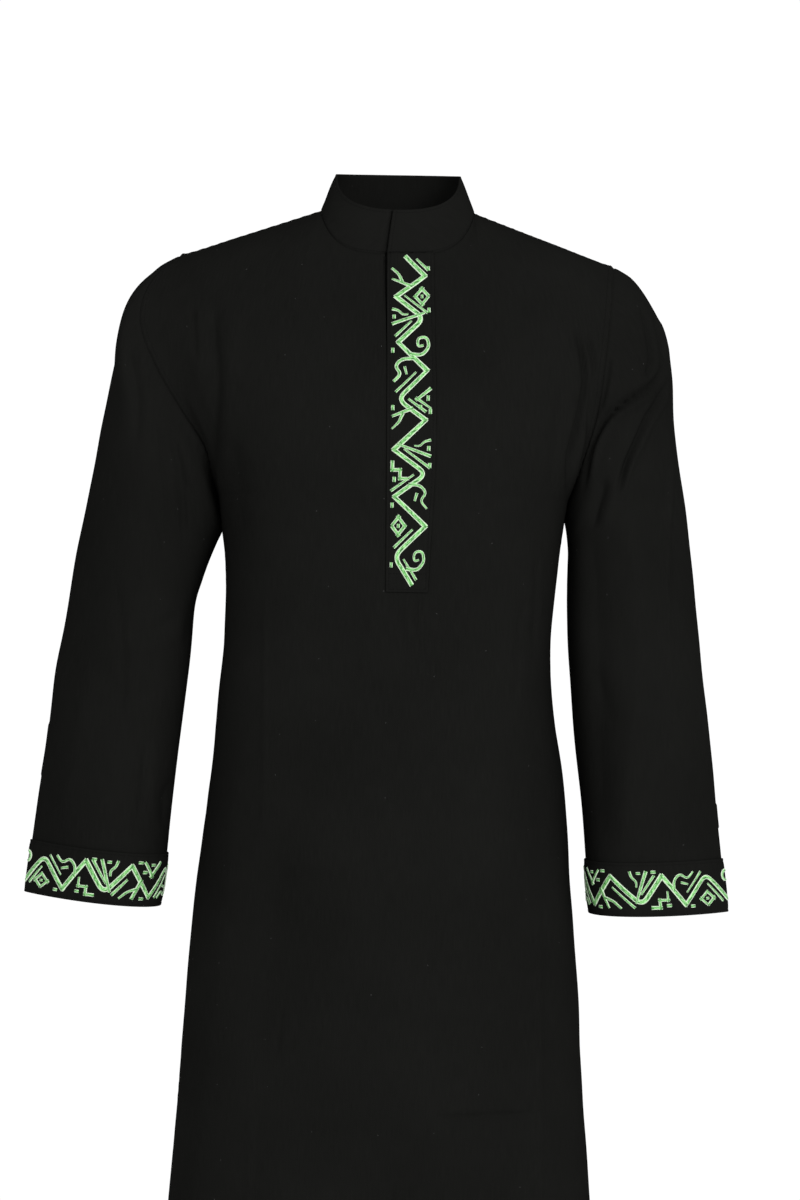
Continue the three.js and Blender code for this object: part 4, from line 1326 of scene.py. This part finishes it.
q_breaks = [1 + float(neck_angle_at(x)) / 180 for x in (PLACKET["left"], PLACKET_END)]
front_plain, (slit_column, placket_column, _) = panel_grid("front", (0, *q_breaks, 3))
give = np.ones(front_plain.shape[:2])
give[PLACKET_ROW:, slit_column:placket_column] = PLACKET_GIVE
back_plain, _ = panel_grid("back", (0, 1, 2, 3))
panels = {
    "front": worn_panel(front_plain, "front", FRONT_CREASES, give),
    "back": worn_panel(back_plain, "back", BACK_CREASES),
}
points, normals, slit_rows = slit_front(*panels["front"], slit_column)
slit = dict(cut=slit_column, weld_rows=slit_rows)
cloth_piece("front_panel", "front", "plain", points, normals, cloth_uv(points), **slit)
cloth_piece("back_panel", "back", "plain", *panels["back"], cloth_uv(panels["back"][0]), flip=True)
for face, grids in panels.items():
    yoke = [grid[UNDERARM_ROW:] for grid in grids]
    lines = [edge_line(*yoke, TOPSTITCH["off"], right) for right in (False, True)]
    lines.append(edge_line(*map(turned, grids), HEM["off"]))
    stitch_piece(f"{face}_topstitching", lines)

cuffs = {}
for name, side in SIDES.items():
    kind = dict(closed=True, flip=name == "left")
    plain, band_row = sleeve_grid(side)
    points, normals = worn_sleeve(plain, name, kind)
    around, down = (lengths(ringed(points), axis) for axis in (1, 0))
    uv = np.stack([around, down], -1)[:, :-1]
    cloth_piece(f"sleeve_{name}_cloth", f"sleeve_{name}", "plain", points, normals, uv, **kind)
    around, down = around[band_row:].mean(0), down.mean(1)
    surface = Surface(ringed(points), ringed(normals), around, down, around[-1])
    across = np.linspace(0, around[-1], BAND_COLUMNS, endpoint=False)
    long = down[-1] - down[band_row]
    rows = edged(long, **BAND_STEPS)
    points, normals, uv = strip(surface, across, down[band_row] + rows, LAYER_GAP + BAND_CLOTH, closed=True)
    cloth_piece(f"cuff_band_{name}_cloth", f"cuff_band_{name}", "faced", points, normals, uv, **kind)
    cuffs[name] = Surface(ringed(points), ringed(normals), np.append(across, around[-1]), rows, around[-1])
    turn = np.linspace(0, around[-1], FINE["cuff_line"])
    heights = (STRIP["off"], long - CUFF_STITCH_TOP)
    lines = [cuffs[name].at(turn, np.full(len(turn), height)) for height in heights]
    stitch_piece(f"cuff_topstitching_{name}", lines)

collar = worn_collar(collar_grid())
cloth_piece("collar_band", "collar", "collar", *collar, cloth_uv(collar[0]))
lines = [
    edge_line(*map(turned, collar), COLLAR_STITCH["off"], from_right=True),
    edge_line(*map(turned, collar), STRIP["off"]),
    edge_line(*collar, COLLAR_STITCH["off"]),
]
stitch_piece("collar_topstitching", lines)

points, normals = (grid[PLACKET_ROW:] for grid in panels["front"])
rows = lengths(points[:, slit_column : placket_column + 1], 0).mean(1)
columns = lengths(points, 1).mean(0)
columns = columns - columns[slit_column]
surface = Surface(points, normals, columns, rows)
wide, long = float(columns[placket_column]), float(rows[-1])
across, rows = edged(wide, **PLACKET_ACROSS), edged(long, **PLACKET_ALONG)
points, normals, uv = strip(surface, across, rows, LAYER_GAP + BAND_CLOTH)
cloth_piece("placket_strip", "placket", "faced", points, normals, uv)
placket = Surface(points, normals, across, rows)
low, high, top = STRIP["off"], wide - STRIP["off"], long - PLACKET_STITCH_TOP
lines = []
edges = ((low, top), (low, low), (high, low), (high, top))
for corners in (edges, ((low, PLACKET_BOX), (high, PLACKET_BOX))):
    for start, end in zip(corners, corners[1:]):
        lines.append(placket.at(*np.linspace(start, end, FINE["placket_line"]).T))
stitch_piece("placket_topstitching", lines)
across = np.linspace(-UNDERLAP["seam"], wide * UNDERLAP["share"], UNDERLAP_STEPS[0])
rows = np.linspace(0, long, UNDERLAP_STEPS[1])
under = strip(surface, across, rows, -CLOTH - LAYER_GAP - UNDERLAP["sink"])
cloth_piece("placket_under_strip", "placket_underlap", "plain", *under)

rng = np.random.default_rng(SEEDS["embroidery"])
corners = bends(EMBROIDERY_ENDS[0], long - sum(EMBROIDERY_ENDS), PLACKET_BENDS, False, rng)
embroider("placket_embroidery", Band(placket, wide / 2, False), corners, False, rng)
for name, surface in cuffs.items():
    corners = bends(0, surface.period, CUFF_BENDS, True, rng)
    corners.append(corners[0] + (0, surface.period))
    embroider(f"cuff_embroidery_{name}", Band(surface, CUFF_MIDDLE, True), corners, True, rng)

# Room and camera

scene = bpy.context.scene


def place_in_scene(name, data, location=(0, 0, 0), rotation=(0, 0, 0)):
    obj = bpy.data.objects.new(name, data)
    obj.location = location
    obj.rotation_euler = rotation
    scene.collection.objects.link(obj)
    return obj


turn = np.linspace(0, 360, FLOOR["corners"], endpoint=False)
rim = np.stack([FLOOR["radius"] * cosine(turn), FLOOR["radius"] * sine(turn), 0 * turn - FLOOR["drop"]], -1)
mesh = bpy.data.meshes.new("studio_floor")
mesh.from_pydata((rim * MM).tolist(), [], [tuple(range(len(rim)))])
new_material("white_paper", Base_Color=(0.93, 0.93, 0.93, 1), Roughness=0.9)
mesh.materials.append(materials["white_paper"])
place_in_scene("studio_floor", mesh)

# The room is softly lit all round, with a bright white wall behind the garment.
scene.world = bpy.data.worlds.new("studio")
scene.world.use_nodes = True
tree = scene.world.node_tree
way = add(tree, "ShaderNodeTexCoord").outputs["Generated"]
depth = add(tree, "ShaderNodeSeparateXYZ", {"Vector": way}).outputs["Y"]
wall = {"Value": depth, "From Min": WALL_EDGE[0], "From Max": WALL_EDGE[1]}
wall.update({"To Min": ROOM_LIGHT, "To Max": WALL_LIGHT})
wall = add(tree, "ShaderNodeMapRange", wall, interpolation_type="SMOOTHSTEP").outputs[0]
background = tree.nodes["Background"]
background.inputs["Color"].default_value = (1, 1, 1, 1)
tree.links.new(wall, background.inputs["Strength"])
scene.view_settings.view_transform = "Standard"

# Each light's place and the height that it points at, and its size, in metres, and its power in watts
LIGHTS = (
    ("key", (1.45, -2.4, 0.7), -0.4, 1.1, 41),
    ("fill", (-1.2, -2.6, -0.1), -0.5, 1.8, 11),
    ("rear", (-0.8, 2.8, 0.6), -0.4, 1.4, 38),
)
for name, place, target, size, watts in LIGHTS:
    light = bpy.data.lights.new(name, "AREA")
    light.shape = "SQUARE"
    light.size = size
    light.energy = watts
    way = Vector((0, 0, target)) - Vector(place)
    place_in_scene(name, light, place, way.to_track_quat("-Z", "Y").to_euler())

lens = bpy.data.cameras.new("camera")
lens.sensor_width = CAMERA["sensor"]
lens.lens = CAMERA["sensor"] * CAMERA["distance"] / PICTURE_TALL
lens.clip_end = 60
place = (CAMERA["x"] * MM, -CAMERA["distance"] * MM, -CAMERA["drop"] * MM)
tilt = (math.radians(90), math.radians(-CAMERA["roll"]), 0)
scene.camera = place_in_scene("camera", lens, place, tilt)

bpy.context.view_layer.update()
